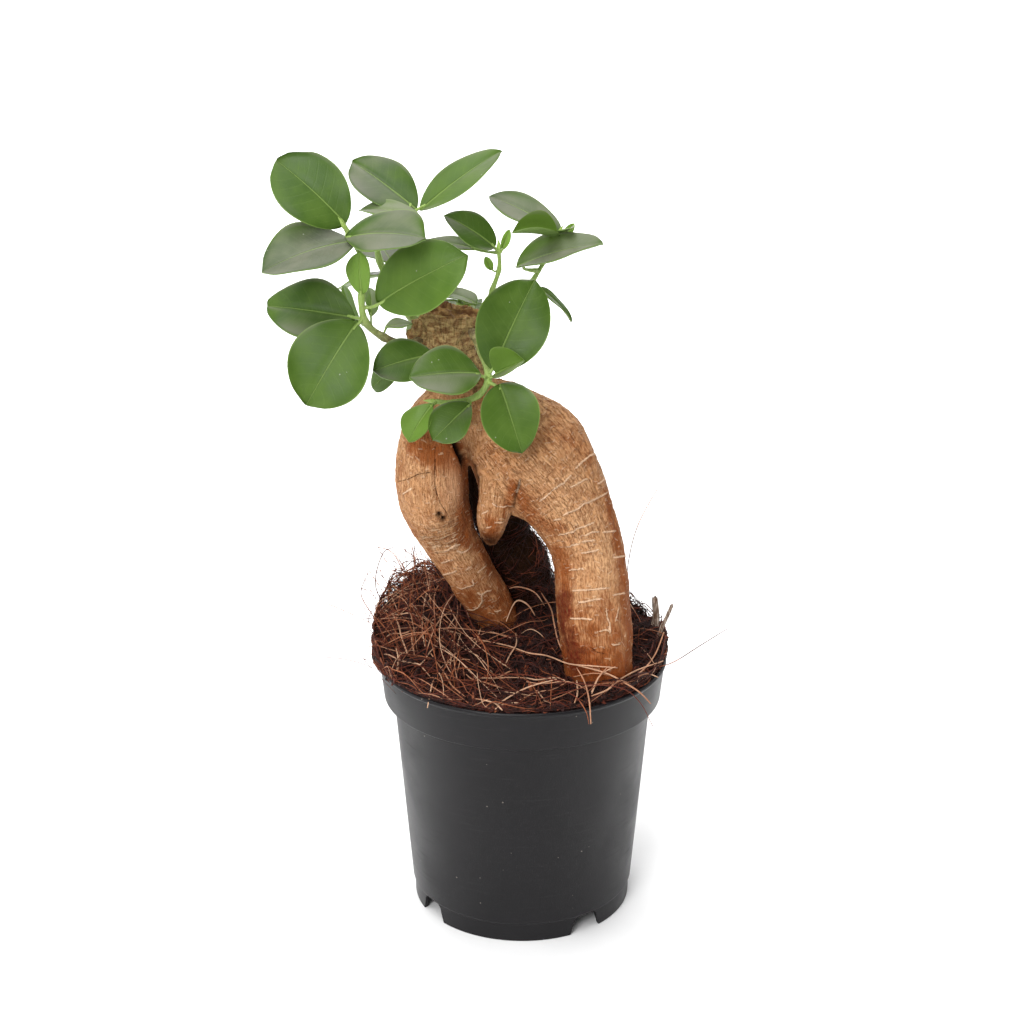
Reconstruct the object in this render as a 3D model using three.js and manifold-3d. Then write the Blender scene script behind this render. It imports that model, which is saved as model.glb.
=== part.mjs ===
// A grafted Chinese banyan bonsai: a swollen, two-legged rootstock with a sawn stump, leafy young shoots
// grafted round the stump, and the black nursery pot of coconut-fibre soil that it grows in.
// Units are millimetres and +Z is up. Places are measured from the pot's axis on the table, with -Y
// towards the front, and the last group shifts the whole plant so that its box is centred on the origin.

import * as THREE from 'three';
import { mergeVertices } from 'three/addons/utils/BufferGeometryUtils.js';
import Module from 'manifold-3d';

const wasm = await Module();
wasm.setup();

// Driving dimensions of the pot
const RIM_RADIUS = 45;
const POT_HEIGHT = 82;
const POT_WALL = 1.2;
const BAND_HEIGHT = 12.5;
const BAND_LOWER_RADIUS = 43.2;
const BODY_TOP_RADIUS = 40.3;
const BODY_BOTTOM_RADIUS = 35.2;
const FOOT_RADIUS = 34.5;
const FLOOR_HEIGHT = 7;
const NOTCH_HEIGHT = 6;
const NOTCH_WIDTH = 9;
const NOTCH_FLARE = 1.5;         // how much further a notch opens to each side at the table
const NOTCH_ANGLE = 35;          // degrees from the front towards +X
const NOTCH_COUNT = 4;
const NOTCH_ROUND = 2.5;
const DRAIN_RADIUS = 3;
const DRAIN_RING_RADIUS = 22;
const DRAIN_COUNT = 6;
const DRAIN_CUT = 6;
const DRAIN_SIDES = 12;
const POT_SIDES = 48;

// Driving dimensions of the soil
const GAP = 0.3;                 // clearance between pieces that touch
const SOIL_EDGE_HEIGHT = 81;
const SOIL_RINGS = 8;
const SOIL_SIDES = 40;
const SOIL_ROUGHNESS = 0.9;
const LIP_REACH = 3;             // how far the root ball bulges over the rim at the left
const LIP_LEFT = { turn: 0.15, spread: 0.75, share: 1 };
const LIP_RIGHT = { turn: 0.2, spread: 0.4, share: 0.6 };
const LIP_LEAST = 0.1;           // a smaller share than this is no bulge
const FIBRE_RADIUS = 0.45;
const FIBRE_COUNT = 20;
const FIBRE_FIELD = 42;          // loose fibres keep inside this radius
const FIBRE_SINK = 1.2;          // how deep a loose fibre's ends lie

// Driving dimensions of the plant
const STEM_RADIUS = 1.3;
const PETIOLE_RADIUS = 0.65;
const BLADE_THICKNESS = 0.7;
const LARGE_LEAF = 16;           // blades longer than this get the finer grid
const LARGE_GRID = [4, 6];       // strips across and along a large blade
const SMALL_GRID = [2, 4];
const LEAF_ARCH = 0.06;          // how far the midrib bows out, as a share of its length
const LEAF_CUP = 0.05;           // how far the margins rise, as a share of the width
const LEAF_FULLNESS = 0.62;      // a lower power gives a blunter base and tip

// The box of the finished plant is centred on the origin by this shift
const CENTRE_SHIFT = [6, 0.5, 0];

const COLOURS = {
  pot: 0x2b2c2f, soil: 0x3d2218, bark: 0xa9794d, stem: 0x7f9a45, leaf: 0x4d7c33,
};

const vec = ([x, y, z]) => new THREE.Vector3(x, y, z);
const radians = THREE.MathUtils.degToRad;

// A small seeded random number source, so that every build is the same
function seededRandom(seed) {
  let state = seed;
  return () => {
    state = (state * 16807) % 2147483647;
    return state / 2147483647;
  };
}

// A closed geometry becomes a solid that can be joined and cut, with its faces pointing out
function toSolid(geometry) {
  geometry.deleteAttribute('normal');
  geometry.deleteAttribute('uv');
  const merged = mergeVertices(geometry, 1e-4);
  const vertProperties = new Float32Array(merged.attributes.position.array);
  const triVerts = new Uint32Array(merged.index.array);
  if (signedVolume(vertProperties, triVerts) < 0) {
    for (let i = 0; i < triVerts.length; i += 3) {
      [triVerts[i], triVerts[i + 1]] = [triVerts[i + 1], triVerts[i]];
    }
  }
  return new wasm.Manifold(new wasm.Mesh({ numProp: 3, vertProperties, triVerts }));
}

function signedVolume(points, triangles) {
  const corner = (i) => new THREE.Vector3().fromArray(points, 3 * triangles[i]);
  let sum = 0;
  for (let i = 0; i < triangles.length; i += 3) {
    sum += corner(i).dot(corner(i + 1).cross(corner(i + 2)));
  }
  return sum / 6;
}

// A cut can leave loose scraps beside the piece itself, and only the piece is kept
function mainBody(solid) {
  return solid.decompose().reduce((a, b) => (b.volume() > a.volume() ? b : a));
}

function toMesh(name, solid, colour, roughness) {
  const { vertProperties, triVerts, numProp } = solid.getMesh();
  if (numProp !== 3) throw new Error(`${name} has extra vertex properties`);
  const geometry = new THREE.BufferGeometry();
  geometry.setAttribute('position', new THREE.BufferAttribute(vertProperties, 3));
  geometry.setIndex(new THREE.BufferAttribute(triVerts, 1));
  const material = new THREE.MeshStandardMaterial({ color: colour, roughness, metalness: 0 });
  const mesh = new THREE.Mesh(geometry, material);
  mesh.name = name;
  return mesh;
}

// A limb is a tapered round solid along a smooth path: a cylinder bent to the path.
// Each radius is a number, or a pair of the radius across and the radius from front to back.
function limb({ path, radii, sides, steps, swell = 0, relief = () => 0 }) {
  const route = new THREE.CatmullRomCurve3(path.map(vec));
  const pairs = radii.map((r) => (Array.isArray(r) ? r : [r, r]));
  const girth = new THREE.CatmullRomCurve3(pairs.map(([a, b]) => new THREE.Vector3(a, b, 0)));
  const frames = [];
  let across = new THREE.Vector3(1, 0, 0);
  for (let i = 0; i <= steps; i += 1) {
    const tangent = route.getTangent(i / steps);
    across = across.clone().addScaledVector(tangent, -across.dot(tangent)).normalize();
    const deep = tangent.clone().cross(across);
    frames.push({ at: route.getPoint(i / steps), across, deep, size: girth.getPoint(i / steps) });
  }
  const geometry = new THREE.CylinderGeometry(1, 1, 1, sides, steps);
  const position = geometry.attributes.position;
  for (let i = 0; i < position.count; i += 1) {
    const share = 0.5 - position.getY(i);
    const { at, across: wide, deep, size } = frames[Math.round(share * steps)];
    const x = position.getX(i);
    const z = position.getZ(i);
    const bump = 1 + relief(Math.atan2(z, x), share);
    const moved = at.clone()
      .addScaledVector(wide, x * (size.x * bump + swell))
      .addScaledVector(deep, z * (size.y * bump + swell));
    position.setXYZ(i, moved.x, moved.y, moved.z);
  }
  return toSolid(geometry);
}

// POT

// The wall is one thin closed profile turned round the axis, with a broad band under the rim,
// a raised floor and a foot ring a little inside the body
function potSolid() {
  const bandFoot = POT_HEIGHT - BAND_HEIGHT;
  const profile = [
    [0, FLOOR_HEIGHT],
    [FOOT_RADIUS - POT_WALL, FLOOR_HEIGHT],
    [FOOT_RADIUS - POT_WALL, 0],
    [FOOT_RADIUS, 0],
    [FOOT_RADIUS + 0.1, FLOOR_HEIGHT - 1],
    [BODY_BOTTOM_RADIUS, FLOOR_HEIGHT - 0.5],
    [BODY_TOP_RADIUS, bandFoot - 0.4],
    [BAND_LOWER_RADIUS, bandFoot],
    [RIM_RADIUS - 0.6, POT_HEIGHT - 1.4],
    [RIM_RADIUS, POT_HEIGHT - 0.8],
    [RIM_RADIUS - 0.2, POT_HEIGHT],
    [RIM_RADIUS - POT_WALL, POT_HEIGHT],
    [BAND_LOWER_RADIUS - POT_WALL, bandFoot + POT_WALL],
    [BODY_TOP_RADIUS - POT_WALL, bandFoot - 0.6],
    [BODY_BOTTOM_RADIUS - POT_WALL, FLOOR_HEIGHT + POT_WALL],
    [0, FLOOR_HEIGHT + POT_WALL],
  ].map(([radius, height]) => new THREE.Vector2(radius, height));
  const wall = new THREE.LatheGeometry(profile, POT_SIDES).rotateX(Math.PI / 2);
  let pot = toSolid(wall);
  for (let i = 0; i < NOTCH_COUNT; i += 1) {
    pot = pot.subtract(footNotch(radians(NOTCH_ANGLE + (i * 360) / NOTCH_COUNT)));
  }
  for (let i = 0; i < DRAIN_COUNT; i += 1) {
    const angle = (i * 2 * Math.PI) / DRAIN_COUNT;
    const x = DRAIN_RING_RADIUS * Math.sin(angle);
    const y = -DRAIN_RING_RADIUS * Math.cos(angle);
    const drain = new THREE.CylinderGeometry(DRAIN_RADIUS, DRAIN_RADIUS, DRAIN_CUT, DRAIN_SIDES);
    pot = pot.subtract(toSolid(drain.rotateX(Math.PI / 2).translate(x, y, FLOOR_HEIGHT)));
  }
  return pot;
}

// An arched notch through the foot ring lets water run out from under the pot
function footNotch(angle) {
  const half = NOTCH_WIDTH / 2;
  const outline = new THREE.Shape();
  outline.moveTo(-half - NOTCH_FLARE, -1);
  outline.lineTo(-half, NOTCH_HEIGHT - NOTCH_ROUND);
  outline.quadraticCurveTo(-half, NOTCH_HEIGHT, NOTCH_ROUND - half, NOTCH_HEIGHT);
  outline.lineTo(half - NOTCH_ROUND, NOTCH_HEIGHT);
  outline.quadraticCurveTo(half, NOTCH_HEIGHT, half, NOTCH_HEIGHT - NOTCH_ROUND);
  outline.lineTo(half + NOTCH_FLARE, -1);
  const depth = 8;
  const bar = new THREE.ExtrudeGeometry(outline, { depth, bevelEnabled: false, curveSegments: 3 });
  bar.rotateX(Math.PI / 2).translate(0, depth / 2 - FOOT_RADIUS, 0).rotateZ(angle);
  return toSolid(bar);
}

// ROOTSTOCK

// The bark is ribbed lengthwise and swells in slow rings
const barkRelief = (ribs, depth) => (angle, share) => depth * (
  Math.sin(ribs * angle + 5 * share) * 0.6 + Math.sin(19 * share + 2 * angle) * 0.5
);

// The stump was sawn off above a narrower neck
const STUMP = {
  path: [[-20.5, 0, 191.6], [-21, 0, 186], [-21, 0, 179], [-18.5, -1, 170], [-16, -2, 158]],
  radii: [[9.3, 9], [8.6, 8.4], 7.3, [9.6, 9], [14, 12]],
  sides: 14,
  steps: 8,
  relief: barkRelief(4, 0.05),
};

// A broad shoulder runs over into the thick right leg, which leans to the front
const RIGHT_LEG = {
  path: [[-18, 0, 160], [-9, -1, 156], [2.5, -3, 147], [12.6, -5, 135], [18.8, -8, 121],
    [20.8, -12, 107], [22.3, -16, 94], [22.8, -18, 82], [20.5, -16, 64], [18, -14, 48]],
  radii: [[11, 10], [15, 12.6], [17.8, 14.4], [13.4, 13.4], [11, 12], [11, 11.4], [10.9, 11],
    [10.4, 10.4], 8, 4.5],
  sides: 18,
  steps: 20,
  relief: barkRelief(5, 0.035),
};

// The left leg hangs from the shoulder as a long bulb, pinches to a neck and slants under the arch
const LEFT_LEG = {
  path: [[-19, -2, 168], [-25.4, -3, 158], [-27, -4, 147], [-26.6, -3, 135], [-22, 0, 121],
    [-16, 4, 107], [-9, 9, 92], [-5, 12, 78], [-3, 13, 62], [-2, 12, 50]],
  radii: [6, [9, 9], [10.4, 10.5], [10.8, 10.5], [9, 8.8], 7.4, 6.8, 6, 4.6, 3],
  sides: 14,
  steps: 18,
  relief: barkRelief(4, 0.035),
};

// A short root runs down from the foot of the stump over the crotch and tapers behind the left leg
const CROTCH_ROOT = {
  path: [[-15, -2, 164], [-9.5, -4, 154], [-7, -7, 144], [-7.4, -9, 136], [-8.5, -9, 129],
    [-10, -6, 122]],
  radii: [8, 8.6, 7.8, 7, 5.6, 3],
  sides: 10,
  steps: 10,
  relief: barkRelief(3, 0.03),
};

// A darker rear root props the trunk from behind
const REAR_ROOT = {
  path: [[-9, 6, 150], [-9.5, 10.5, 135], [-6.6, 15, 119], [-1, 18, 106], [2, 20, 92], [4, 21, 76],
    [5, 20, 58]],
  radii: [8, [9, 8], 7.6, 8.8, 8.2, 5.6, 3],
  sides: 10,
  steps: 11,
  relief: barkRelief(3, 0.04),
};

// The cut stub of an old branch sticks out of the stump at the left
const BRANCH_STUB = {
  path: [[-24, -1, 182], [-29, -2, 184.5], [-33, -2.5, 186]],
  radii: [4.2, 3.6, 3],
  sides: 9,
  steps: 3,
};

const LIMBS = [STUMP, RIGHT_LEG, LEFT_LEG, CROTCH_ROOT, REAR_ROOT, BRANCH_STUB];
const UNDERGROUND = [RIGHT_LEG, LEFT_LEG, REAR_ROOT];

function rootstockSolid(sockets) {
  const wood = LIMBS.map(limb).reduce((sum, piece) => sum.add(piece));
  return sockets.reduce((rest, socket) => rest.subtract(socket), wood);
}

// SOIL

// Each hump is [x, y, height, spread]: the root ball stands highest at the back left
const HUMPS = [[-31, 21, 16, 17], [-4, 28, 12, 19], [26, 26, 8, 17], [41, 4, 6, 10], [0, 2, 6, 16],
  [25, -28, 5.5, 10]];

function soilHeight(x, y) {
  const lift = HUMPS.map(([hx, hy, height, spread]) => (
    height * Math.exp(-((x - hx) ** 2 + (y - hy) ** 2) / (2 * spread ** 2))
  ));
  return SOIL_EDGE_HEIGHT + Math.max(...lift) * 0.75 + lift.reduce((a, b) => a + b) * 0.25;
}

// How far the root ball bulges over the rim: most at the left, a little at the right, not at the front
function lipReach(x, y) {
  const fromLeft = Math.atan2(y - LIP_LEFT.turn * Math.abs(x), -x);
  const fromRight = Math.atan2(y, x) - LIP_RIGHT.turn;
  const left = LIP_LEFT.share * Math.exp(-((fromLeft / LIP_LEFT.spread) ** 2));
  const right = LIP_RIGHT.share * Math.exp(-((fromRight / LIP_RIGHT.spread) ** 2));
  const share = Math.max(left, right);
  return share > LIP_LEAST ? LIP_REACH * share : 0;
}

// The lathe profile is a plug inside the pot. The rings above it are lifted to the uneven surface,
// and where the root ball bulges over the rim the outermost two are pushed out above it.
function soilSolid() {
  const random = seededRandom(11);
  const floor = FLOOR_HEIGHT + POT_WALL + GAP;
  const bandFoot = POT_HEIGHT - BAND_HEIGHT;
  const reach = RIM_RADIUS - POT_WALL - GAP - 0.2;
  const mark = { inRim: 100, overRim: 200, edge: 300, top: 400 };
  const profile = [
    [0, floor],
    [BODY_BOTTOM_RADIUS - POT_WALL - GAP, floor],
    [BODY_TOP_RADIUS - POT_WALL - GAP, bandFoot],
    [BAND_LOWER_RADIUS - POT_WALL - GAP, bandFoot + 2 * POT_WALL],
    [reach, mark.inRim],
    [reach, mark.overRim],
    [reach, mark.edge],
  ];
  for (let i = 1; i <= SOIL_RINGS; i += 1) profile.push([reach * (1 - i / SOIL_RINGS), mark.top]);
  const outline = profile.map(([radius, height]) => new THREE.Vector2(radius, height));
  const geometry = new THREE.LatheGeometry(outline, SOIL_SIDES).rotateX(Math.PI / 2);
  geometry.deleteAttribute('normal');
  geometry.deleteAttribute('uv');
  const plug = mergeVertices(geometry, 1e-4);
  const position = plug.attributes.position;
  for (let i = 0; i < position.count; i += 1) {
    const x = position.getX(i);
    const y = position.getY(i);
    const height = position.getZ(i);
    const rough = (random() - 0.5) * 2 * SOIL_ROUGHNESS;
    const lip = lipReach(x, y);
    const inRim = lip > 0 ? POT_HEIGHT + GAP : POT_HEIGHT - 2;
    const surface = soilHeight(x, y);
    const push = 1 + lip / reach;
    if (height === mark.inRim) position.setZ(i, inRim);
    if (height === mark.overRim) position.setXYZ(i, x * push, y * push, inRim + 0.3 + 0.2 * lip);
    const edge = Math.max(surface - lip, inRim + 0.8) + rough * 0.3;
    if (height === mark.edge) position.setXYZ(i, x * push, y * push, edge);
    if (height === mark.top) position.setZ(i, surface + (Math.hypot(x, y) > 6 ? rough : 0));
  }
  return toSolid(plug);
}

// Loose coconut fibres arch over the surface with both ends sunk in it
function surfaceFibres() {
  const random = seededRandom(29);
  const fibres = [];
  for (let i = 0; i < FIBRE_COUNT; i += 1) {
    const radius = 40 * Math.sqrt(random());
    const angle = random() * 2 * Math.PI;
    const heading = random() * 2 * Math.PI;
    const half = 5 + 6 * random();
    const rise = 0.8 + 1.6 * random();
    const sway = (random() - 0.5) * 5;
    const point = (step, lift) => {
      const ahead = step * half;
      const aside = lift * sway;
      const x = radius * Math.cos(angle) + ahead * Math.cos(heading) - aside * Math.sin(heading);
      const y = radius * Math.sin(angle) + ahead * Math.sin(heading) + aside * Math.cos(heading);
      const shrink = Math.min(1, FIBRE_FIELD / Math.hypot(x, y));
      const surface = soilHeight(x * shrink, y * shrink);
      return [x * shrink, y * shrink, surface + lift * rise - FIBRE_SINK * (1 - lift)];
    };
    fibres.push({ path: [point(-1, 0), point(-0.5, 0.8), point(0, 1), point(0.5, 0.8), point(1, 0)] });
  }
  return fibres;
}

// A few long fibres stand or hang clear of the root ball, as on the real plant
const LONG_FIBRES = [
  [[33, 2, 84], [32.5, 2, 97], [32.5, 2, 110], [35.5, 2, 124], [43, 2, 139]],
  [[40, -12, 82], [46, -14, 85], [54, -15, 91], [62, -16, 97]],
  [[-17, -25, 80], [-13, -28, 86], [-1, -32, 89], [14, -37, 88.5], [28, -37, 87], [34, -38, 83],
    [38, -40, 76]],
  [[-40, -8, 86], [-46, -4, 96], [-50, 2, 101], [-48, 8, 106]],
  [[-40, 6, 90], [-46, 10, 100], [-44, 12, 110], [-40, 12, 113]],
  [[-32, 20, 92], [-38, 24, 100], [-42, 26, 106], [-48, 26, 108]],
  [[9, -31, 79], [11, -36, 85], [15, -42, 86.5], [18, -46.5, 84], [19, -47, 80]],
];

// Two broken twigs lie upright in the coir at the right
const TWIGS = [
  { path: [[41, 6, 82], [42, 6, 90], [41.5, 6, 98]], radii: [1.5, 1.3, 0.9] },
  { path: [[41, 0, 82], [43.5, 1, 90], [46.5, 2, 97]], radii: [1.2, 1.1, 0.9] },
];

function coirSolid() {
  const fibre = ({ path }) => limb({
    path, radii: path.map(() => FIBRE_RADIUS), sides: 3, steps: path.length,
  });
  const twig = ({ path, radii }) => limb({ path, radii, sides: 6, steps: 4 });
  let coir = soilSolid();
  for (const piece of surfaceFibres()) coir = coir.add(fibre(piece));
  for (const path of LONG_FIBRES) coir = coir.add(fibre({ path }));
  for (const piece of TWIGS) coir = coir.add(twig(piece));
  for (const leg of UNDERGROUND) coir = coir.subtract(limb({ ...leg, swell: GAP }));
  return mainBody(coir);
}

// LEAFY SHOOTS

// A leaf is [base, tip, width, the way its upper side faces, where along it is widest].
// Each shoot is a stem, from its foot in the wood to its end, and its leaves.
const SHOOTS = {
  shoot_left: {
    stem: [[-30, -4, 183], [-34, -9, 183], [-40, -13, 186], [-45, -15, 191], [-46, -14, 198],
      [-45, -12, 205], [-47, -12, 212], [-50, -12, 217]],
    leaves: [
      [[-50, -12, 219], [-69.5, -6, 237], 17, [0.1, -1, 0.5], 0.52],
      [[-50, -14, 215], [-27, -25, 217], 19, [0.1, -0.7, 1], 0.6],
      [[-46, -13, 214], [-73, -22, 207], 23, [-0.2, -0.5, 1], 0.6],
      [[-48, -13, 192], [-74, -8, 195], 19, [-0.1, -1, 0.7], 0.5],
      [[-47, -17, 191], [-62, -24, 169], 24, [0, -1, 0.45], 0.52],
      [[-41, -15, 196], [-16, -22, 212], 20.5, [0.1, -1, 0.55], 0.52],
      [[-46, -15, 199], [-46, -15, 211], 8, [-0.5, -1, 0.2], 0.5],
      [[-47, -8, 189], [-53, 2, 198], 6, [-1, -0.3, 0.4], 0.5],
      [[-44, -7, 191], [-45, 4, 197], 5, [0.5, -1, 0.2], 0.5],
      [[-26, -12, 181], [-43, -17, 177], 13, [0, -0.9, 0.5], 0.5],
      [[-36, -6, 177], [-45, 1, 167], 8, [-0.3, -1, 0.5], 0.5],
      [[-40, -9, 188], [-32, -8, 189], 6, [0, -0.2, 1], 0.5],
    ],
  },
  shoot_left_top: {
    stem: [[-27, 3, 186], [-33, 4, 188], [-38, 4, 196], [-42, 4, 205], [-42, 4, 212], [-39, 4, 217]],
    leaves: [
      [[-31, 6, 220], [-51, 22, 231], 15, [0.1, -1, 1.0], 0.5],
      [[-30, 3, 220], [-6, 8, 236], 10.5, [-0.3, -1, 0.9], 0.5],
      [[-30, 0, 219], [-48, 8, 219], 8, [0, -0.4, 1], 0.5],
    ],
  },
  shoot_front: {
    stem: [[-15, -5, 186], [-12, -11, 181], [-10, -17, 175], [-13, -18, 170], [-20, -18, 168],
      [-25, -17, 168]],
    leaves: [
      [[-12, -20, 177], [-32, -26, 178], 16, [0, -0.8, 0.8], 0.52],
      [[-7, -20, 174], [0, -25, 155], 17, [0.1, -1, 0.4], 0.42],
      [[-15, -20, 168], [-26, -25, 159], 12, [-0.1, -0.9, 0.6], 0.55],
      [[-26, -19, 168], [-33, -21, 157], 9, [-0.6, -1, 0.3], 0.55],
      [[-8, -17, 180], [4, -10, 202], 18.5, [0.1, -1, 0.45], 0.5],
      [[-8, -20, 177], [1, -24, 182], 8, [0, -1, 0.8], 0.6],
    ],
  },
  shoot_right: {
    stem: [[-16, 3, 184], [-11, 5, 190], [-9, 5, 196], [-7, 5, 202], [-7, 5, 207]],
    leaves: [
      [[-8, 4, 209], [-23, 5, 218], 10.5, [0.4, -1, 0.9], 0.42],
      [[-14, 6, 208], [-30, 12, 209], 6, [0, -0.4, 1], 0.5],
      [[-6, 4, 208], [-4, 4, 214], 2.6, [0, -1, 0.3], 0.5],
      [[-9, 4, 202], [-11, 4, 206], 2.6, [0, -1, 0.3], 0.5],
    ],
  },
  shoot_right_far: {
    stem: [[-15, 3, 176], [-8, 8, 183], [-2, 9, 190], [3, 9, 198], [7, 8, 205], [10, 8, 211]],
    leaves: [
      [[11, 9, 212], [-10, 22, 221], 12, [0.3, -0.7, 1.0], 0.5],
      [[9, 6, 212], [-1, 0, 214], 6, [0, -0.8, 1], 0.55],
      [[11, 7, 212], [14, 2, 215], 5, [0.3, -0.6, 1], 0.5],
      [[0, 3, 203], [23, -2, 211], 14, [0, -0.45, 1], 0.5],
      [[5, 12, 195], [15, 16, 184], 6, [0.3, -0.3, 1], 0.5],
      [[12, 8, 211], [15, 8, 215], 2.6, [0, -1, 0.3], 0.5],
      [[-1, 15, 190], [-1, 29, 179], 13, [0.2, 0.6, 1], 0.5],
    ],
  },
  shoot_back: {
    stem: [[-20, 5, 182], [-20, 13, 186], [-19, 20, 189], [-17, 26, 190]],
    leaves: [
      [[-14, 18, 189], [-24, 26, 191], 8, [0, -0.25, 1], 0.5],
      [[-15, 28, 187], [-9, 44, 172], 16, [0.1, 0.8, 0.8], 0.5],
      [[-20, 27, 188], [-22, 46, 178], 17, [0, 0.5, 1], 0.5],
      [[-22, 23, 185], [-34, 38, 172], 15, [-0.5, 0.6, 0.9], 0.5],
      [[-14, 22, 185], [3, 34, 171], 15, [0.5, 0.7, 0.8], 0.5],
    ],
  },
  shoot_back_left: {
    stem: [[-24, 4, 178], [-31, 11, 186], [-36, 17, 193], [-38, 21, 198]],
    leaves: [
      [[-36, 22, 199], [-23, 35, 195], 15, [0.2, 0.3, 1], 0.5],
      [[-40, 22, 197], [-56, 34, 190], 15, [-0.4, 0.2, 1], 0.5],
      [[-39, 23, 200], [-47, 42, 204], 16, [0, -0.2, 1], 0.5],
      [[-33, 19, 189], [-34, 36, 181], 13, [0, 0.6, 1], 0.5],
    ],
  },
};

// A blade is a thin bowed sheet with the same triangles on both faces
function bladeSolid([base, tip, width, face, widest]) {
  const from = vec(base);
  const along = vec(tip).sub(from);
  const length = along.length();
  along.normalize();
  const up = vec(face);
  up.addScaledVector(along, -up.dot(along)).normalize();
  const side = along.clone().cross(up);
  const shift = Math.log(0.5) / Math.log(widest);
  const [strips, steps] = length > LARGE_LEAF ? LARGE_GRID : SMALL_GRID;
  const sheet = new THREE.PlaneGeometry(2, 1, strips, steps);
  const grid = sheet.attributes.position;
  const count = grid.count;
  const points = new Float32Array(6 * count);
  for (let i = 0; i < 2 * count; i += 1) {
    const across = grid.getX(i % count);
    const share = grid.getY(i % count) + 0.5;
    const half = Math.max(0.4, (width / 2) * Math.sin(Math.PI * share ** shift) ** LEAF_FULLNESS || 0);
    const lift = 4 * LEAF_ARCH * length * share * (1 - share) + LEAF_CUP * half * 2 * across ** 2;
    const thick = i < count ? BLADE_THICKNESS / 2 : -BLADE_THICKNESS / 2;
    from.clone().addScaledVector(along, share * length).addScaledVector(side, across * half)
      .addScaledVector(up, lift + thick).toArray(points, 3 * i);
  }
  const faces = Array.from(sheet.index.array);
  const triangles = [...faces];
  for (let i = 0; i < faces.length; i += 3) {
    triangles.push(faces[i] + count, faces[i + 2] + count, faces[i + 1] + count);
  }
  const rim = rimOf(strips, steps);
  rim.forEach((p, i) => {
    const q = rim[(i + 1) % rim.length];
    triangles.push(q, p, p + count, q, p + count, q + count);
  });
  const geometry = new THREE.BufferGeometry();
  geometry.setAttribute('position', new THREE.BufferAttribute(points, 3));
  geometry.setIndex(triangles);
  return toSolid(geometry);
}

// The border of a grid of strips and steps, in order round it
function rimOf(strips, steps) {
  const row = strips + 1;
  const rim = [];
  for (let i = 0; i < steps; i += 1) rim.push(i * row);
  for (let i = 0; i < strips; i += 1) rim.push(steps * row + i);
  for (let i = steps; i > 0; i -= 1) rim.push(i * row + strips);
  for (let i = strips; i > 0; i -= 1) rim.push(i);
  return rim;
}

const stemRadii = (stem) => stem.map((_, i) => STEM_RADIUS * (1 - (0.4 * i) / (stem.length - 1)));

const stemLimb = (stem, swell) => limb({
  path: stem, radii: stemRadii(stem), sides: 6, steps: 2 * (stem.length - 1), swell,
});

// A petiole leaves the stem at the point nearest to its leaf's base and runs a little way into the blade
function petioleSolid(stem, [base, tip]) {
  const route = new THREE.CatmullRomCurve3(stem.map(vec));
  const foot = vec(base);
  const nearer = (a, b) => (b.distanceTo(foot) < a.distanceTo(foot) ? b : a);
  const near = route.getPoints(40).reduce(nearer);
  const end = foot.clone().lerp(vec(tip), 0.08);
  const middle = near.clone().lerp(foot, 0.6).add(new THREE.Vector3(0, 0, -0.4));
  const path = [near, middle, end].map((p) => p.toArray());
  const radii = [PETIOLE_RADIUS * 1.15, PETIOLE_RADIUS, PETIOLE_RADIUS * 0.8];
  return limb({ path, radii, sides: 4, steps: 2 });
}

function shootSolid({ stem, leaves }) {
  let shoot = stemLimb(stem, 0);
  for (const leaf of leaves) shoot = shoot.add(petioleSolid(stem, leaf)).add(bladeSolid(leaf));
  return shoot;
}

// The socket of a shoot is its stem, grown by the gap and pushed a little deeper into the wood
function socketSolid({ stem }) {
  const foot = vec(stem[0]);
  const deeper = foot.clone().sub(vec(stem[1])).normalize().multiplyScalar(GAP).add(foot);
  return stemLimb([deeper.toArray(), ...stem.slice(1)], GAP);
}

// ASSEMBLY

const plant = new THREE.Group();
plant.add(toMesh('pot', potSolid(), COLOURS.pot, 0.5));
plant.add(toMesh('coir_soil', coirSolid(), COLOURS.soil, 0.95));
const sockets = Object.values(SHOOTS).map(socketSolid);
plant.add(toMesh('rootstock', rootstockSolid(sockets), COLOURS.bark, 0.7));
for (const [name, shoot] of Object.entries(SHOOTS)) {
  plant.add(toMesh(name, shootSolid(shoot), COLOURS.leaf, 0.4));
}
plant.position.set(...CENTRE_SHIFT);

const object = new THREE.Group();
object.add(plant);

export default object;
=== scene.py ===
# %% [markdown]
# A grafted Chinese banyan bonsai in its nursery pot. The plant is a swollen two-legged rootstock
# with a sawn stump, young leafy shoots grafted round the stump, a ball of coconut fibre that it
# roots in, and a thin black plastic pot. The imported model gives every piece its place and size, so
# it is loaded first and measured. Each solid in it is then replaced by a finer piece that keeps the
# same form.

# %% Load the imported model
import math
import random

import bmesh
import bpy
import numpy as np
from mathutils import Matrix, Vector, noise


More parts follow.
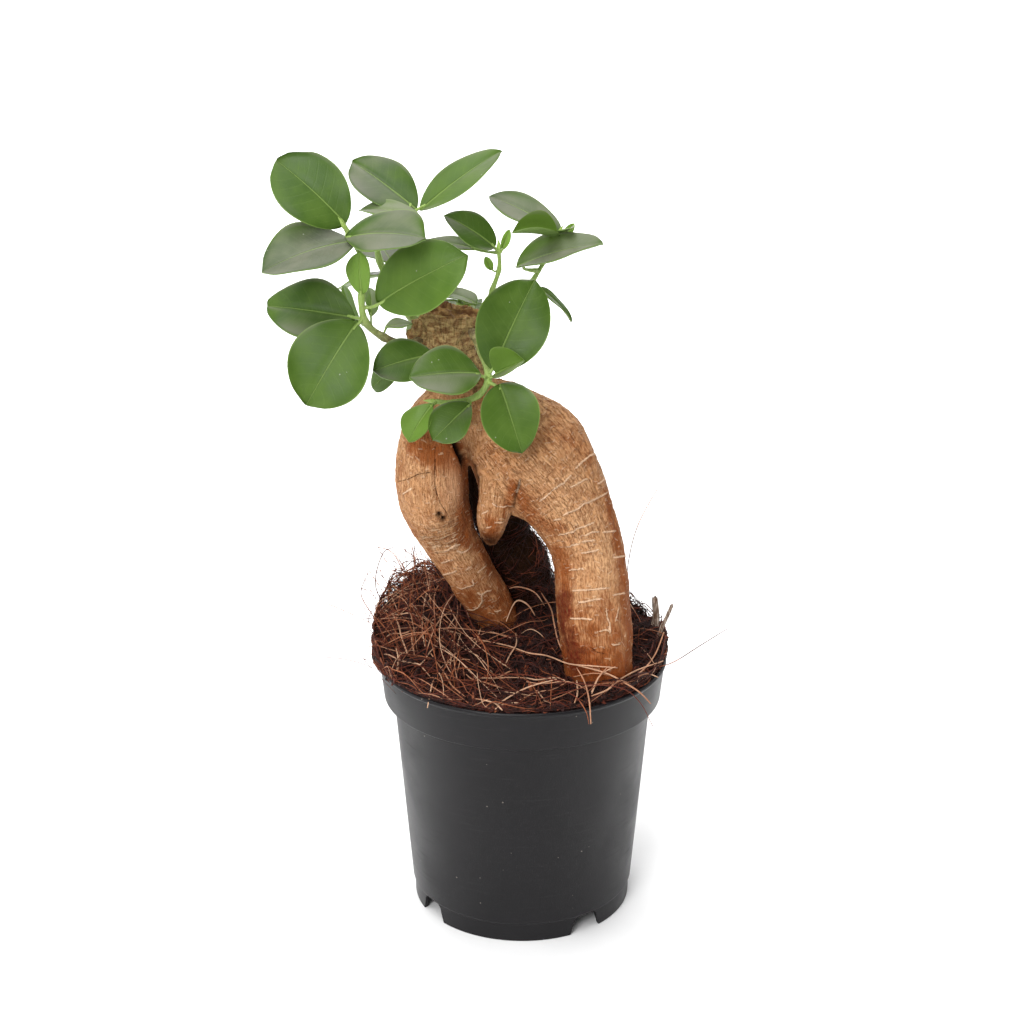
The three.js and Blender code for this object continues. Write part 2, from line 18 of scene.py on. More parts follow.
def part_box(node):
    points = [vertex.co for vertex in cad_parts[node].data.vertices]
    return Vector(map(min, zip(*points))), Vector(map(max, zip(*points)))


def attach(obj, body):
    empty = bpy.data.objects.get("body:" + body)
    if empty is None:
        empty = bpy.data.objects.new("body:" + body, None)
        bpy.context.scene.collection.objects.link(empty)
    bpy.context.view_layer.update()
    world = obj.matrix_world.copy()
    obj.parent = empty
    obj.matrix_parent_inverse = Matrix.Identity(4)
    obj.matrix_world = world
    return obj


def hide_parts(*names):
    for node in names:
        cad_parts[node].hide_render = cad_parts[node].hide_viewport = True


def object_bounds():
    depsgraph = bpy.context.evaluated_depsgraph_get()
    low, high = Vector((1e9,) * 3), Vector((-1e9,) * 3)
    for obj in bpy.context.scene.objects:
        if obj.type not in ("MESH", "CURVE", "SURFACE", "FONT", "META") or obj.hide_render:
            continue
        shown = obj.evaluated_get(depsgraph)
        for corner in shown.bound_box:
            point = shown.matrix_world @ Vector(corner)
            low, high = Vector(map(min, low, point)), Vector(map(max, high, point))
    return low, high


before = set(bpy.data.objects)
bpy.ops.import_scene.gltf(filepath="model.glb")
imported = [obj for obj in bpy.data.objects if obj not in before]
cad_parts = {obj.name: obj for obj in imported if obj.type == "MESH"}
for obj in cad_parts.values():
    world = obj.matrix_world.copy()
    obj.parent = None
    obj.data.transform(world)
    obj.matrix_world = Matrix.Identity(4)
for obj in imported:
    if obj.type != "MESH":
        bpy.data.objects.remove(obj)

cad_box = [list(corner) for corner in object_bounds()]
print("nodes:", sorted(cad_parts))
print("box of the solids in metres:", cad_box)

# %% [markdown]
# All places below are written in millimetres, measured from the pot's own axis at the height of the
# table, with -Y towards the front. That is how a grower would measure the plant. The axis is read
# from the pot's box, and one matrix turns such a place into metres in the shared frame.

# %% Units and the pot's axis
MM = 0.001
pot_low, pot_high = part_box("pot")
AXIS = Vector(((pot_low.x + pot_high.x) / 2, (pot_low.y + pot_high.y) / 2, pot_low.z))
TO_FRAME = Matrix.Translation(AXIS) @ Matrix.Scale(MM, 4)
RIM_RADIUS = (pot_high.x - pot_low.x) / 2 / MM
POT_HEIGHT = (pot_high.z - pot_low.z) / MM
print(f"pot axis {AXIS[:]}, rim radius {RIM_RADIUS:.1f} mm, height {POT_HEIGHT:.1f} mm")

# %% [markdown]
# Every piece goes through the same last steps: its edit mesh is turned into metres, its normals are
# made to point outwards, and it becomes an object that stands at the origin. Curves and modifiers
# are turned into plain meshes too, so that each mesh holds what is seen.

# %% Helpers that finish a mesh
DOUBLES = 0.001


def link(name, data):
    """Puts a mesh, a lamp or a camera into the scene as an object."""
    made = bpy.data.objects.new(name, data)
    bpy.context.scene.collection.objects.link(made)
    return made


def to_object(name, bm, *materials, smooth=True, sharp_angle=None):
    """Makes an object from an edit mesh in millimetres, with its place in the mesh."""
    bmesh.ops.recalc_face_normals(bm, faces=bm.faces)
    bm.transform(TO_FRAME)
    mesh = bpy.data.meshes.new(name)
    bm.to_mesh(mesh)
    bm.free()
    for material in materials:
        mesh.materials.append(material)
    mesh.polygons.foreach_set("use_smooth", [smooth] * len(mesh.polygons))
    if sharp_angle is not None:
        mesh.set_sharp_from_angle(angle=math.radians(sharp_angle))
    return link(name, mesh)


def add_modifier(piece, kind, **settings):
    """Adds a modifier and fills in its settings."""
    modifier = piece.modifiers.new(kind.lower(), kind)
    for key, value in settings.items():
        setattr(modifier, key, value)


def apply_modifiers(piece):
    """Puts the result of the modifiers into the piece's own mesh."""
    bpy.context.view_layer.update()
    evaluated = piece.evaluated_get(bpy.context.evaluated_depsgraph_get())
    result = bpy.data.meshes.new_from_object(evaluated)
    result.name = piece.name
    piece.modifiers.clear()
    piece.data = result


def point_values(piece, key):
    """The place ("co") or the "normal" of every point of a piece, in rows of three."""
    values = np.empty(len(piece.data.vertices) * 3)
    piece.data.vertices.foreach_get(key, values)
    return values.reshape(-1, 3)


def report(piece):
    """Prints how large a piece is and how many triangles it has."""
    piece.data.calc_loop_triangles()
    size = np.ptp(point_values(piece, "co"), axis=0) / MM
    print(f"{piece.name}: {len(piece.data.loop_triangles)} triangles, {size.round(1)} mm")


def draw_chain(bm, places):
    """Adds points that are joined one after another by edges."""
    chain = [bm.verts.new(place) for place in places]
    for near, far in zip(chain, chain[1:]):
        bm.edges.new((near, far))
    return chain


def spin_round(bm, steps):
    """Spins all that is drawn so far once round the upright axis, as a lathe would."""
    bmesh.ops.spin(bm, geom=bm.verts[:] + bm.edges[:], cent=(0, 0, 0), axis=(0, 0, 1),
                   angle=math.tau, steps=steps, use_merge=True)
    bmesh.ops.remove_doubles(bm, verts=bm.verts, dist=DOUBLES)


# %% [markdown]
# Stems, roots, fibres and legs are all tapered round forms along a smooth line. The line runs
# through a few given points. A ring is set square across it at each step and neighbouring
# rings are bridged, which is how a root is lofted in a modelling program too.

# %% Helpers that loft a limb
def smooth_line(points, per_span):
    """Runs a smooth line through the points, with per_span steps from each to the next."""
    knots = [Vector(p) for p in points]
    knots = [2 * knots[0] - knots[1], *knots, 2 * knots[-1] - knots[-2]]
    line = []
    for a, b, c, d in zip(knots, knots[1:], knots[2:], knots[3:]):
        for step in range(per_span):
            t = step / per_span
            curve = (2 * b) + (c - a) * t + (2 * a - 5 * b + 4 * c - d) * t * t
            line.append(0.5 * (curve + (3 * b - a - 3 * c + d) * t ** 3))
    line.append(knots[-2])
    return line


def square_frames(line):
    """The directions across, deep and along at each point, carried along without twisting."""
    across = Vector((1, 0, 0))
    frames = []
    for i, point in enumerate(line):
        along = (line[min(i + 1, len(line) - 1)] - line[max(i - 1, 0)]).normalized()
        across = (across - along * across.dot(along)).normalized()
        frames.append((point, across, along.cross(across), along))
    return frames


def ring_matrix(point, across, deep, along, wide, thick):
    """Turns a flat unit circle into a ring of a limb."""
    rotation = Matrix((across * wide, deep * thick, along)).transposed().to_4x4()
    return Matrix.Translation(point) @ rotation


def loft(bm, line, radii, sides, relief=None):
    """Bridges rings along a line into one closed limb and returns its vertices ring by ring."""
    rings = []
    for i, (place, (wide, thick)) in enumerate(zip(square_frames(line), radii)):
        capped = i in (0, len(line) - 1)
        ring = bmesh.ops.create_circle(bm, segments=sides, radius=1, cap_ends=capped)["verts"]
        if relief:
            for k, vert in enumerate(ring):
                vert.co *= 1 + relief(math.tau * k / sides, i / (len(line) - 1))
        bmesh.ops.transform(bm, matrix=ring_matrix(*place, wide, thick), verts=ring)
        rings.append(ring)
    for lower, upper in zip(rings, rings[1:]):
        pair = lower + upper
        edges = dict.fromkeys(edge for vert in pair for edge in vert.link_edges
                              if edge.other_vert(vert) in pair)
        bmesh.ops.bridge_loops(bm, edges=list(edges))
    return rings


print("a line through two points has", len(smooth_line([(0, 0, 0), (0, 0, 10)], 4)), "stations")

# %% [markdown]
# Materials are node networks. One short function adds a node and fills its inputs, with a value or
# with a link. Effects that several materials share are node groups with named inputs: a cloudy
# mottle, fine streaks that run one way, and settled dust. Each group only gives out a mask, and
# each material decides what to do with it.

# %% Helpers for materials
def add(tree, kind, inputs=None, **settings):
    """Adds a shader node, sets its options and fills or links its inputs."""
    made = tree.nodes.new("ShaderNode" + kind)
    for key, value in settings.items():
        setattr(made, key, value)
    for key, value in (inputs or {}).items():
        if isinstance(value, bpy.types.NodeSocket):
            tree.links.new(value, made.inputs[key])
        else:
            made.inputs[key].default_value = value
    return made


def calc(tree, operation, first, second=0.0, third=0.0):
    """Works out one number from up to three."""
    return add(tree, "Math", {0: first, 1: second, 2: third}, operation=operation).outputs[0]


def times(tree, first, second):
    """The product of two numbers."""
    return calc(tree, "MULTIPLY", first, second)


def opposite(tree, share):
    """What a share leaves of the whole."""
    return calc(tree, "SUBTRACT", 1.0, share)


def pile(tree, *parts):
    """Adds up patterns, each times its own height."""
    total = times(tree, *parts[0])
    for pattern, height in parts[1:]:
        total = calc(tree, "ADD", total, times(tree, pattern, height))
    return total


def ease(tree, value, low, high, start=0.0, end=1.0):
    """Goes smoothly from start to end while the value goes from low to high."""
    inputs = {"Value": value, "From Min": low, "From Max": high, "To Min": start, "To Max": end}
    return add(tree, "MapRange", inputs, interpolation_type="SMOOTHSTEP").outputs[0]


def tint(tree, share, first, second):
    """Mixes two colours by a share from 0 to 1."""
    inputs = {0: share}
    for index, colour in ((6, first), (7, second)):
        inputs[index] = colour if isinstance(colour, bpy.types.NodeSocket) else (*colour, 1)
    return add(tree, "Mix", inputs, data_type="RGBA").outputs[2]


def paint(tree, colour, *coats):
    """Lays coats over a colour: each is a mask, how much of it shows, and the coat's colour."""
    for mask, strength, coat in coats:
        colour = tint(tree, times(tree, mask, strength), colour, coat)
    return colour


# %% Helpers for patterns and effects
def stretch(tree, vector, x, y, z):
    """Scales a position, so that a pattern becomes finer or longer one way."""
    return add(tree, "Mapping", {"Vector": vector, "Scale": (x, y, z)}).outputs[0]


def fine_noise(tree, vector, scale, detail=2.0):
    """A noise from 0 to 1."""
    return add(tree, "TexNoise", {"Vector": vector, "Scale": scale, "Detail": detail}).outputs[0]


def stored(tree, name, socket="Vector"):
    """A value that the mesh keeps at each of its points."""
    return add(tree, "Attribute", attribute_name=name).outputs[socket]


def stored_three(tree, name):
    """Three numbers that the mesh keeps at each of its points."""
    return add(tree, "SeparateXYZ", {"Vector": stored(tree, name)}).outputs


def stored_four(tree, name):
    """Four numbers that the mesh keeps at each of its points as a colour."""
    kept = add(tree, "Attribute", attribute_name=name).outputs
    return [*add(tree, "SeparateColor", {"Color": kept["Color"]}).outputs, kept["Alpha"]]


def new_material(name, roughness, specular):
    """An empty material, its tree, its Principled shader and its Object coordinates."""
    material = bpy.data.materials.new(name)
    material.use_nodes = True
    tree = material.node_tree
    shader = tree.nodes["Principled BSDF"]
    shader.inputs["Roughness"].default_value = roughness
    shader.inputs["Specular IOR Level"].default_value = specular
    return material, tree, shader, add(tree, "TexCoord").outputs["Object"]


def feed(tree, value, shader, socket):
    """Links a value to a socket of the shader."""
    tree.links.new(value, shader.inputs[socket])


def raise_surface(tree, shader, height, distance):
    """Turns a height into bumps of so many metres on the shader's normal."""
    bump = add(tree, "Bump", {"Height": height, "Distance": distance})
    feed(tree, bump.outputs[0], shader, "Normal")


def new_effect(name, **numbers):
    """A node group with a Vector input, named number inputs and a Mask output."""
    group = bpy.data.node_groups.new(name, "ShaderNodeTree")
    group.interface.new_socket("Vector", in_out="INPUT", socket_type="NodeSocketVector")
    for key, value in numbers.items():
        socket = group.interface.new_socket(key, in_out="INPUT", socket_type="NodeSocketFloat")
        socket.default_value = value
    group.interface.new_socket("Mask", in_out="OUTPUT", socket_type="NodeSocketFloat")
    given = group.nodes.new("NodeGroupInput").outputs
    return group, given, group.nodes.new("NodeGroupOutput").inputs["Mask"]


def use_effect(tree, group, vector, **numbers):
    """Places an effect in a material with its own values and returns its mask."""
    return add(tree, "Group", {"Vector": vector, **numbers}, node_tree=group).outputs["Mask"]


# %% Shared effects
def noise_effect(name, detail, roughness):
    """An effect whose mask is a noise, eased between two levels."""
    group, given, mask = new_effect(name, Scale=100, Low=0.35, High=0.65)
    pattern = add(group, "TexNoise", {"Vector": given["Vector"], "Scale": given["Scale"],
                                      "Detail": detail, "Roughness": roughness})
    group.links.new(ease(group, pattern.outputs[0], given["Low"], given["High"]), mask)
    return group


cloudy = noise_effect("cloudy_mottle", detail=5.0, roughness=0.5)
streaky = noise_effect("fine_streaks", detail=3.0, roughness=0.65)
dusty, given, mask = new_effect("settled_dust", Scale=900, Size=0.16, Cover=0.4)
cells = add(dusty, "TexVoronoi", {"Vector": given["Vector"], "Scale": given["Scale"]}).outputs
speck = calc(dusty, "LESS_THAN", cells["Distance"], given["Size"])
chosen = add(dusty, "SeparateColor", {"Color": cells["Color"]}).outputs[0]
kept = calc(dusty, "LESS_THAN", chosen, given["Cover"])
dusty.links.new(times(dusty, speck, kept), mask)
print("shared effects:", [group.name for group in bpy.data.node_groups])

# %% [markdown]
# The pot is vacuum-formed from thin black plastic. It is a thin wall turned round an axis, with a
# broad band under the rim, a raised floor and a foot ring. A lathe is the natural tool: the section
# is drawn once with its corners rounded, and spun. The notches in the foot and the drain holes are
# cut after that.

# %% Pot section
POT_WALL = 1.2
BAND_FOOT = POT_HEIGHT - 12.5
BAND_LOWER_RADIUS = 43.2
BODY_TOP_RADIUS = 40.3
BODY_BOTTOM_RADIUS = 35.2
FOOT_RADIUS = 34.5
FLOOR_HEIGHT = 7
FOOT_STEP = 6
POT_STEPS = 144
POT_CORNER = 0.35

pot_section = [
    (0, FLOOR_HEIGHT),
    (FOOT_RADIUS - POT_WALL, FLOOR_HEIGHT),
    (FOOT_RADIUS - POT_WALL, 0),
    (FOOT_RADIUS, 0),
    (FOOT_RADIUS + 0.1, FOOT_STEP),
    (BODY_BOTTOM_RADIUS, FOOT_STEP + 0.6),
    (BODY_TOP_RADIUS, BAND_FOOT - 0.4),
    (BAND_LOWER_RADIUS, BAND_FOOT),
    (RIM_RADIUS - 0.6, POT_HEIGHT - 1.4),
    (RIM_RADIUS, POT_HEIGHT - 0.8),
    (RIM_RADIUS - 0.2, POT_HEIGHT),
    (RIM_RADIUS - POT_WALL, POT_HEIGHT),
    (BAND_LOWER_RADIUS - POT_WALL, BAND_FOOT + POT_WALL),
    (BODY_TOP_RADIUS - POT_WALL, BAND_FOOT - 0.6),
    (BODY_BOTTOM_RADIUS - POT_WALL, FLOOR_HEIGHT + POT_WALL),
    (0, FLOOR_HEIGHT + POT_WALL),
]
print("points in the pot's section:", len(pot_section))

# %% Spin the wall
pot_bm = bmesh.new()
section = draw_chain(pot_bm, [(radius, 0, height) for radius, height in pot_section])
bmesh.ops.bevel(pot_bm, geom=section[1:-1], offset=POT_CORNER, segments=3, profile=0.5,
                affect="VERTICES", material=-1)
spin_round(pot_bm, POT_STEPS)
print("faces in the turned wall:", len(pot_bm.faces))

# %% Notches in the foot and drain holes
NOTCH_WIDTH = 9
NOTCH_FLARE = 1.5
NOTCH_HEIGHT = 6
NOTCH_ROUND = 2.5
NOTCH_DEPTH = 8
NOTCH_ANGLE = 35
NOTCH_COUNT = 4
NOTCH_ARC_STEPS = 6
DRAIN_RADIUS = 3
DRAIN_DEPTH = 6
DRAIN_SIDES = 24
DRAIN_RING_RADIUS = 22
DRAIN_COUNT = 6
BELOW_TABLE = -1

half_notch = NOTCH_WIDTH / 2
corner = []
for i in range(NOTCH_ARC_STEPS + 1):
    angle = math.pi / 2 * (1 - i / NOTCH_ARC_STEPS)
    corner.append((half_notch - NOTCH_ROUND * (1 - math.sin(angle)),
                   NOTCH_HEIGHT - NOTCH_ROUND * (1 - math.cos(angle))))
half_outline = [(half_notch + NOTCH_FLARE, BELOW_TABLE), *corner]
notch_outline = half_outline + [(-x, z) for x, z in reversed(half_outline)]

cutter_bm = bmesh.new()
for number in range(NOTCH_COUNT):
    near = [cutter_bm.verts.new((x, -FOOT_RADIUS - NOTCH_DEPTH / 2, z)) for x, z in notch_outline]
    outline = [cutter_bm.faces.new(near)]
    drawn = bmesh.ops.extrude_face_region(cutter_bm, geom=outline, use_keep_orig=True)
    far = [item for item in drawn["geom"] if isinstance(item, bmesh.types.BMVert)]
    bmesh.ops.translate(cutter_bm, vec=(0, NOTCH_DEPTH, 0), verts=far)
    turned = Matrix.Rotation(math.radians(NOTCH_ANGLE + 360 * number / NOTCH_COUNT), 4, "Z")
    bmesh.ops.transform(cutter_bm, matrix=turned, verts=near + far)
for number in range(DRAIN_COUNT):
    angle = math.tau * number / DRAIN_COUNT
    at = (DRAIN_RING_RADIUS * math.sin(angle), -DRAIN_RING_RADIUS * math.cos(angle), FLOOR_HEIGHT)
    bmesh.ops.create_cone(cutter_bm, segments=DRAIN_SIDES, radius1=DRAIN_RADIUS, radius2=DRAIN_RADIUS,
                          depth=DRAIN_DEPTH, cap_ends=True, matrix=Matrix.Translation(at))
cutter = to_object("notch_cutter", cutter_bm)
print("faces in the cutter:", len(cutter.data.polygons))

# %% [markdown]
# Black nursery plastic is charcoal rather than black, with a broad soft sheen. It has a faint
# cloudy bloom, thin scuffs that run round it from stacking, and a few specks of dust.

# %% Pot plastic
plastic, tree, shader, place = new_material("black_nursery_plastic", roughness=0.44, specular=0.25)
bloom_and_sheen = use_effect(tree, cloudy, place, Scale=45, Low=0.3, High=0.75)
scuffs = use_effect(tree, streaky, stretch(tree, place, 60, 60, 900), Scale=1, Low=0.56, High=0.78)
specks = use_effect(tree, dusty, place, Scale=420, Size=0.1, Cover=0.10)
charcoal = tint(tree, bloom_and_sheen, (0.0045, 0.0038, 0.0048), (0.0075, 0.0067, 0.0080))
worn = paint(tree, charcoal, (scuffs, 0.25, (0.035, 0.034, 0.034)), (specks, 0.5, (0.25, 0.22, 0.19)))
feed(tree, worn, shader, "Base Color")
rough = calc(tree, "ADD", ease(tree, bloom_and_sheen, 0.0, 1.0, 0.38, 0.50), times(tree, scuffs, 0.10))
feed(tree, rough, shader, "Roughness")
pebble = fine_noise(tree, place, 2600.0)
raise_surface(tree, shader, pile(tree, (pebble, 1), (scuffs, 0.4)), 0.00003)

# %% Cut and finish the pot
POT_SHARP_ANGLE = 32
pot = to_object("nursery_pot", pot_bm, plastic)
add_modifier(pot, "BOOLEAN", object=cutter, operation="DIFFERENCE", solver="EXACT")
apply_modifiers(pot)
bpy.data.objects.remove(cutter)
pot.data.set_sharp_from_angle(angle=math.radians(POT_SHARP_ANGLE))
report(pot)

# %% [markdown]
# The rootstock is swollen, leaning wood in one grown piece: a sawn stump, a broad shoulder that
# runs into the thick right leg, a long bulb that becomes the left leg, a short root in the crotch,
# a root behind, painted near black low down as shade, and an old branch stub. The limbs are lofted
# one by one and fused by a voxel remesh, which welds them as living wood grows together, and then
# smoothed a little. Drawing it as one surface by hand would give neither the creases nor the saddle
# between the legs.

# %% Limbs of the rootstock
def bark_ribs(ribs, depth):
    """The bark swells in lengthwise ribs and in slow rings."""
    return lambda angle, share: depth * (
        0.6 * math.sin(ribs * angle + 5 * share) + 0.5 * math.sin(19 * share + 2 * angle))


LIMBS = {
    "stump": (
        [(-20.5, 0, 191.6), (-21, 0, 186), (-21, 0, 179), (-18.5, -1, 170), (-16, -2, 158)],
        [(9.3, 9), (8.6, 8.4), 7.3, (9.6, 9), (14, 12)], bark_ribs(4, 0.05)),
    "right_leg": (
        [(-18, 0, 161), (-8.4, -1, 157.5), (2.5, -3, 147), (12.6, -5, 135), (18.8, -8, 121),
         (20.8, -12, 107), (22.3, -16, 94), (22.8, -18, 82), (20.5, -16, 64), (18, -14, 48)],
        [(10, 10), (13.4, 12.6), (17.8, 14.4), (13.4, 13.4), (11, 12), (11, 11.4), (10.9, 11),
         (10.4, 10.4), 8, 4.5], bark_ribs(5, 0.035)),
    "left_leg": (
        [(-19, -2, 168), (-25.8, -3, 158), (-27.2, -4, 147), (-26.8, -3, 135), (-22.6, 0, 121),
         (-16, 4, 107), (-9, 9, 92), (-5, 12, 78), (-3, 13, 62), (-2, 12, 50)],
        [6, (8.6, 9), (10.2, 10.5), (10.6, 10.5), (8.6, 8.6), 7.4, 6.8, 6, 4.6, 3],
        bark_ribs(4, 0.035)),
    "crotch_root": (
        [(-15, -2, 164), (-8.6, -4, 154), (-7.4, -7, 145), (-8, -9, 137), (-9.2, -9, 129),
         (-10.4, -6, 121.5)],
        [8, 7, 6.6, 5.6, 4.7, 2.6], bark_ribs(3, 0.03)),
    "rear_root": (
        [(-9, 6, 150), (-9.5, 10.5, 135), (-6.6, 15, 119), (-1, 18, 106), (2, 20, 92), (4, 21, 76),
         (5, 20, 58)],
        [8, (9, 8), 7.6, 8.8, 8.2, 5.6, 3], bark_ribs(3, 0.04)),
    "branch_stub": (
        [(-24, -1, 182), (-29, -2, 184.5), (-33, -2.5, 186)], [4.2, 3.6, 3], None),
}
LIMB_SIDES = 36
LIMB_STEPS = 6


def both_radii(radii, per_span):
    """The two radii of each ring, from one number or a pair at each of the line's points."""
    pairs = [(r, r, 0) if isinstance(r, (int, float)) else (*r, 0) for r in radii]
    return [(pair.x, pair.y) for pair in smooth_line(pairs, per_span)]


wood_bm = bmesh.new()
for points, radii, relief in LIMBS.values():
    loft(wood_bm, smooth_line(points, LIMB_STEPS), both_radii(radii, LIMB_STEPS), LIMB_SIDES, relief)
print("faces in the lofted limbs:", len(wood_bm.faces))

# %% Fuse the limbs
WOOD_VOXEL = 0.62
JUNCTION = (-8, -14, 151)
JUNCTION_REACH = 9
rootstock = to_object("rootstock_wood", wood_bm)
add_modifier(rootstock, "REMESH", mode="VOXEL", voxel_size=WOOD_VOXEL * MM, use_smooth_shade=True)
add_modifier(rootstock, "SMOOTH", factor=0.5, iterations=7)
apply_modifiers(rootstock)
junction = rootstock.vertex_groups.new(name="junction")
middle = AXIS + Vector(JUNCTION) * MM
for vert in rootstock.data.vertices:
    near = math.exp(-((vert.co - middle).length / MM / JUNCTION_REACH) ** 2)
    if near > 0.05:
        junction.add([vert.index], near, "REPLACE")
add_modifier(rootstock, "SMOOTH", factor=0.6, iterations=30, vertex_group="junction")
apply_modifiers(rootstock)
rootstock.vertex_groups.clear()
report(rootstock)

# %% [markdown]
# Bark needs to know which way the wood grows. For every point of the fused surface the nearest limb
# is found, and with it how far round the limb the point lies and how far along. Patterns on these
# follow the limbs round their bends. A place on the limb's own ring stands for the way round,
# because an angle would leave a seam where it starts anew.

# %% Which way the bark runs
PLACE, ACROSS, DEEP, ALONG = [slice(first, first + 3) for first in (0, 3, 6, 9)]
SIZE, GONE, LIMB = 12, 13, 14
BATCH = 8000


def limb_stations():
    """A row for every step of every limb: place, directions, mean radius, distance along, limb."""
    rows = []
    for number, (points, radii, _) in enumerate(LIMBS.values()):
        line = smooth_line(points, LIMB_STEPS)
        frames_and_sizes = zip(square_frames(line), both_radii(radii, LIMB_STEPS))
        gone = 0.0
        for i, (vectors, (wide, thick)) in enumerate(frames_and_sizes):
            gone += (line[i] - line[i - 1]).length if i else 0.0
            vector_values = [value for vector in vectors for value in vector]
            rows.append([*vector_values, (wide + thick) / 2, gone, number])
    return np.array(rows)


def nearest_station(points, stations):
    """For each point the station of the limb it lies on, and how far behind the next limb comes."""
    best = np.empty(len(points), int)
    margin = np.empty(len(points))
    for start in range(0, len(points), BATCH):
        part = slice(start, start + BATCH)
        gap = np.linalg.norm(points[part, None] - stations[None, :, PLACE], axis=2) / stations[:, SIZE]
        best[part] = gap.argmin(1)
        own = stations[best[part], LIMB]
        others = np.where(stations[None, :, LIMB] == own[:, None], 9.0, gap).min(1)
        margin[part] = others - gap.min(1)
    return stations[best], margin


wood_points = (point_values(rootstock, "co") - np.array(AXIS)) / MM
wood_normals = point_values(rootstock, "normal")
station, limb_margin = nearest_station(wood_points, limb_stations())
offset = wood_points - station[:, PLACE]
turned = np.arctan2((offset * station[:, DEEP]).sum(1), (offset * station[:, ACROSS]).sum(1))
along = station[:, GONE] + (offset * station[:, ALONG]).sum(1)
around = turned * station[:, SIZE]
ring_x = np.cos(turned) * station[:, SIZE]
ring_y = np.sin(turned) * station[:, SIZE]
limb_number = station[:, LIMB]
print("points on each limb:", [int((limb_number == n).sum()) for n in range(len(LIMBS))])

# %% [markdown]
# The marks that show most are listed one by one: each crack, crease, shaded edge and corky dash is a
# short line of points on the bark, and each knot is a spot. A mask is 1 on the line and eases to 0
# beside it, so that colour and relief can both follow it. Painting them on a flat picture would
# need the bark unrolled first, and would blur where the limbs meet.

# %% Marks on the bark
def offsets_from(line):
    """For each stretch of a line, the way from it to every point of the wood, and its direction."""
    for a, b in zip(np.array(line[:-1], float), np.array(line[1:], float)):
        share = np.clip((wood_points - a) @ (b - a) / ((b - a) @ (b - a)), 0, 1)
        yield wood_points - a - share[:, None] * (b - a), b - a


def near_line(line, reach):
    """1 on a line of given points, easing to 0 at the reach."""
    gaps = [np.linalg.norm(offset, axis=1) for offset, _ in offsets_from(line)]
    return np.exp(-(np.min(gaps, axis=0) / reach) ** 2)


def near_spot(spot, reach, squeeze=(1, 1, 1)):
    """1 at a spot, easing to 0 at the reach, which is longer along an axis that is squeezed."""
    return np.exp(-(np.linalg.norm((wood_points - spot) * squeeze, axis=1) / reach) ** 2)


def distance_along_bark(lines, far=4.0):
    """Distance over the surface to the nearest line, and the same with a sign for its two sides."""
    best = np.full(len(wood_points), far)
    signed = np.full(len(wood_points), far)
    for offset, stretch_way in (pair for line in lines for pair in offsets_from(line)):
        gap = np.linalg.norm(offset, axis=1)
        flat = offset - wood_normals * (offset * wood_normals).sum(1)[:, None]
        gap = np.where(gap < far, np.linalg.norm(flat, axis=1), far)
        side = np.sign((np.cross(wood_normals, stretch_way) * offset).sum(1))
        signed = np.where(gap < best, gap * side, signed)
        best = np.minimum(best, gap)
    return best, signed


print("points on the bark:", len(wood_points))

# %% Cracks, creases and shaded edges
BULB_CRACK = [(-25.6, -13.7, 153), (-25.6, -14.3, 148.5), (-25.8, -14.5, 145.5), (-25.7, -14.4, 141.8),
              (-25.2, -14, 138.6), (-24.2, -13.4, 135.6), (-22.6, -12.5, 132.7), (-21.9, -12.1, 131.4)]
BULB_CROSS_CRACK = [(-36, -8.4, 141.2), (-33.3, -11.7, 143), (-30.7, -13.7, 145), (-27.7, -14.5, 145.7)]
NECK_CREASES = [
    [(-26.2, -10.7, 125.7), (-23.7, -11.3, 126.7), (-21.2, -10.9, 127.4)],
    [(-27.6, -8.8, 122.4), (-24.3, -10.3, 123.7), (-21.3, -9.9, 123.8)],
    [(-26.7, -7.8, 119.9), (-24.3, -9.1, 121.1), (-20.8, -9.1, 121.7)],
    [(-28.8, -8.8, 123.7), (-26.7, -10.2, 124.8)],
]
LEG_SCAR = [(20.4, -26.2, 95.1), (21.9, -26.7, 93.9), (23.8, -26.9, 93.4)]
ARCH_CREASE = [(-20.2, -10.6, 155.5), (-18.7, -9.6, 151.2), (-17.6, -8.8, 148.3), (-15.9, -9.2, 145.6),
               (-14.8, -9.6, 142), (-15, -9, 135), (-14.8, -8.5, 128), (-13, -8, 121)]
CROTCH_CREASE = [(-1, -17.1, 144), (-1.3, -16.9, 142.1), (-2.1, -16.4, 139.8), (-2.9, -13.6, 134)]
KNOT_PITS = [(-24.8, -13, 132.3), (-23.6, -12.3, 130.7)]
PALE_PANEL = (-20.3, -11.9, 139.5)
RED_PATCH = [(12.4, -18.8, 107), (13.2, -19.5, 101), (14.8, -22, 95), (17, -25, 89)]
BULB_RIGHT = [(-20.8, -11.3, 150.3), (-18.2, -8.8, 143.7), (-16.7, -6.9, 135.3), (-16.5, -6.9, 128.3),
              (-17.2, -7.3, 123.5)]
BULB_TOP = [(-31.2, -12.5, 153.5), (-26.6, -13.8, 153), (-22.1, -12.1, 152.5), (-19.3, -10, 150.4)]
BULB_UPPER = [(-30.8, -13.1, 151.4), (-26.2, -14, 150.7), (-21.7, -12.4, 148.5), (-18.1, -8.7, 144.7)]
BULB_LEFT = [(-35.7, -8.7, 148.5), (-36.6, -7, 138.2), (-35.5, -6.3, 131.1), (-31.6, -6.5, 123.2)]
ABOVE_ARCH = [(-0.1, -16.4, 138.5), (3.2, -13.7, 130.7), (8.7, -16.7, 128.8)]
SHOULDER = [(3.5, -17.5, 147.5), (10.8, -17.2, 145.5), (16.4, -17.4, 138.8)]
SHOULDER_EDGE = [(8, -10, 158), (14, -11, 153.5), (19, -9, 149)]
RIGHT_LEG_INSIDE = [(11, -16.9, 122), (12, -18, 114.5), (12.9, -20, 107.3), (14.8, -23.2, 98.6),
                    (17.5, -26.2, 90.8)]
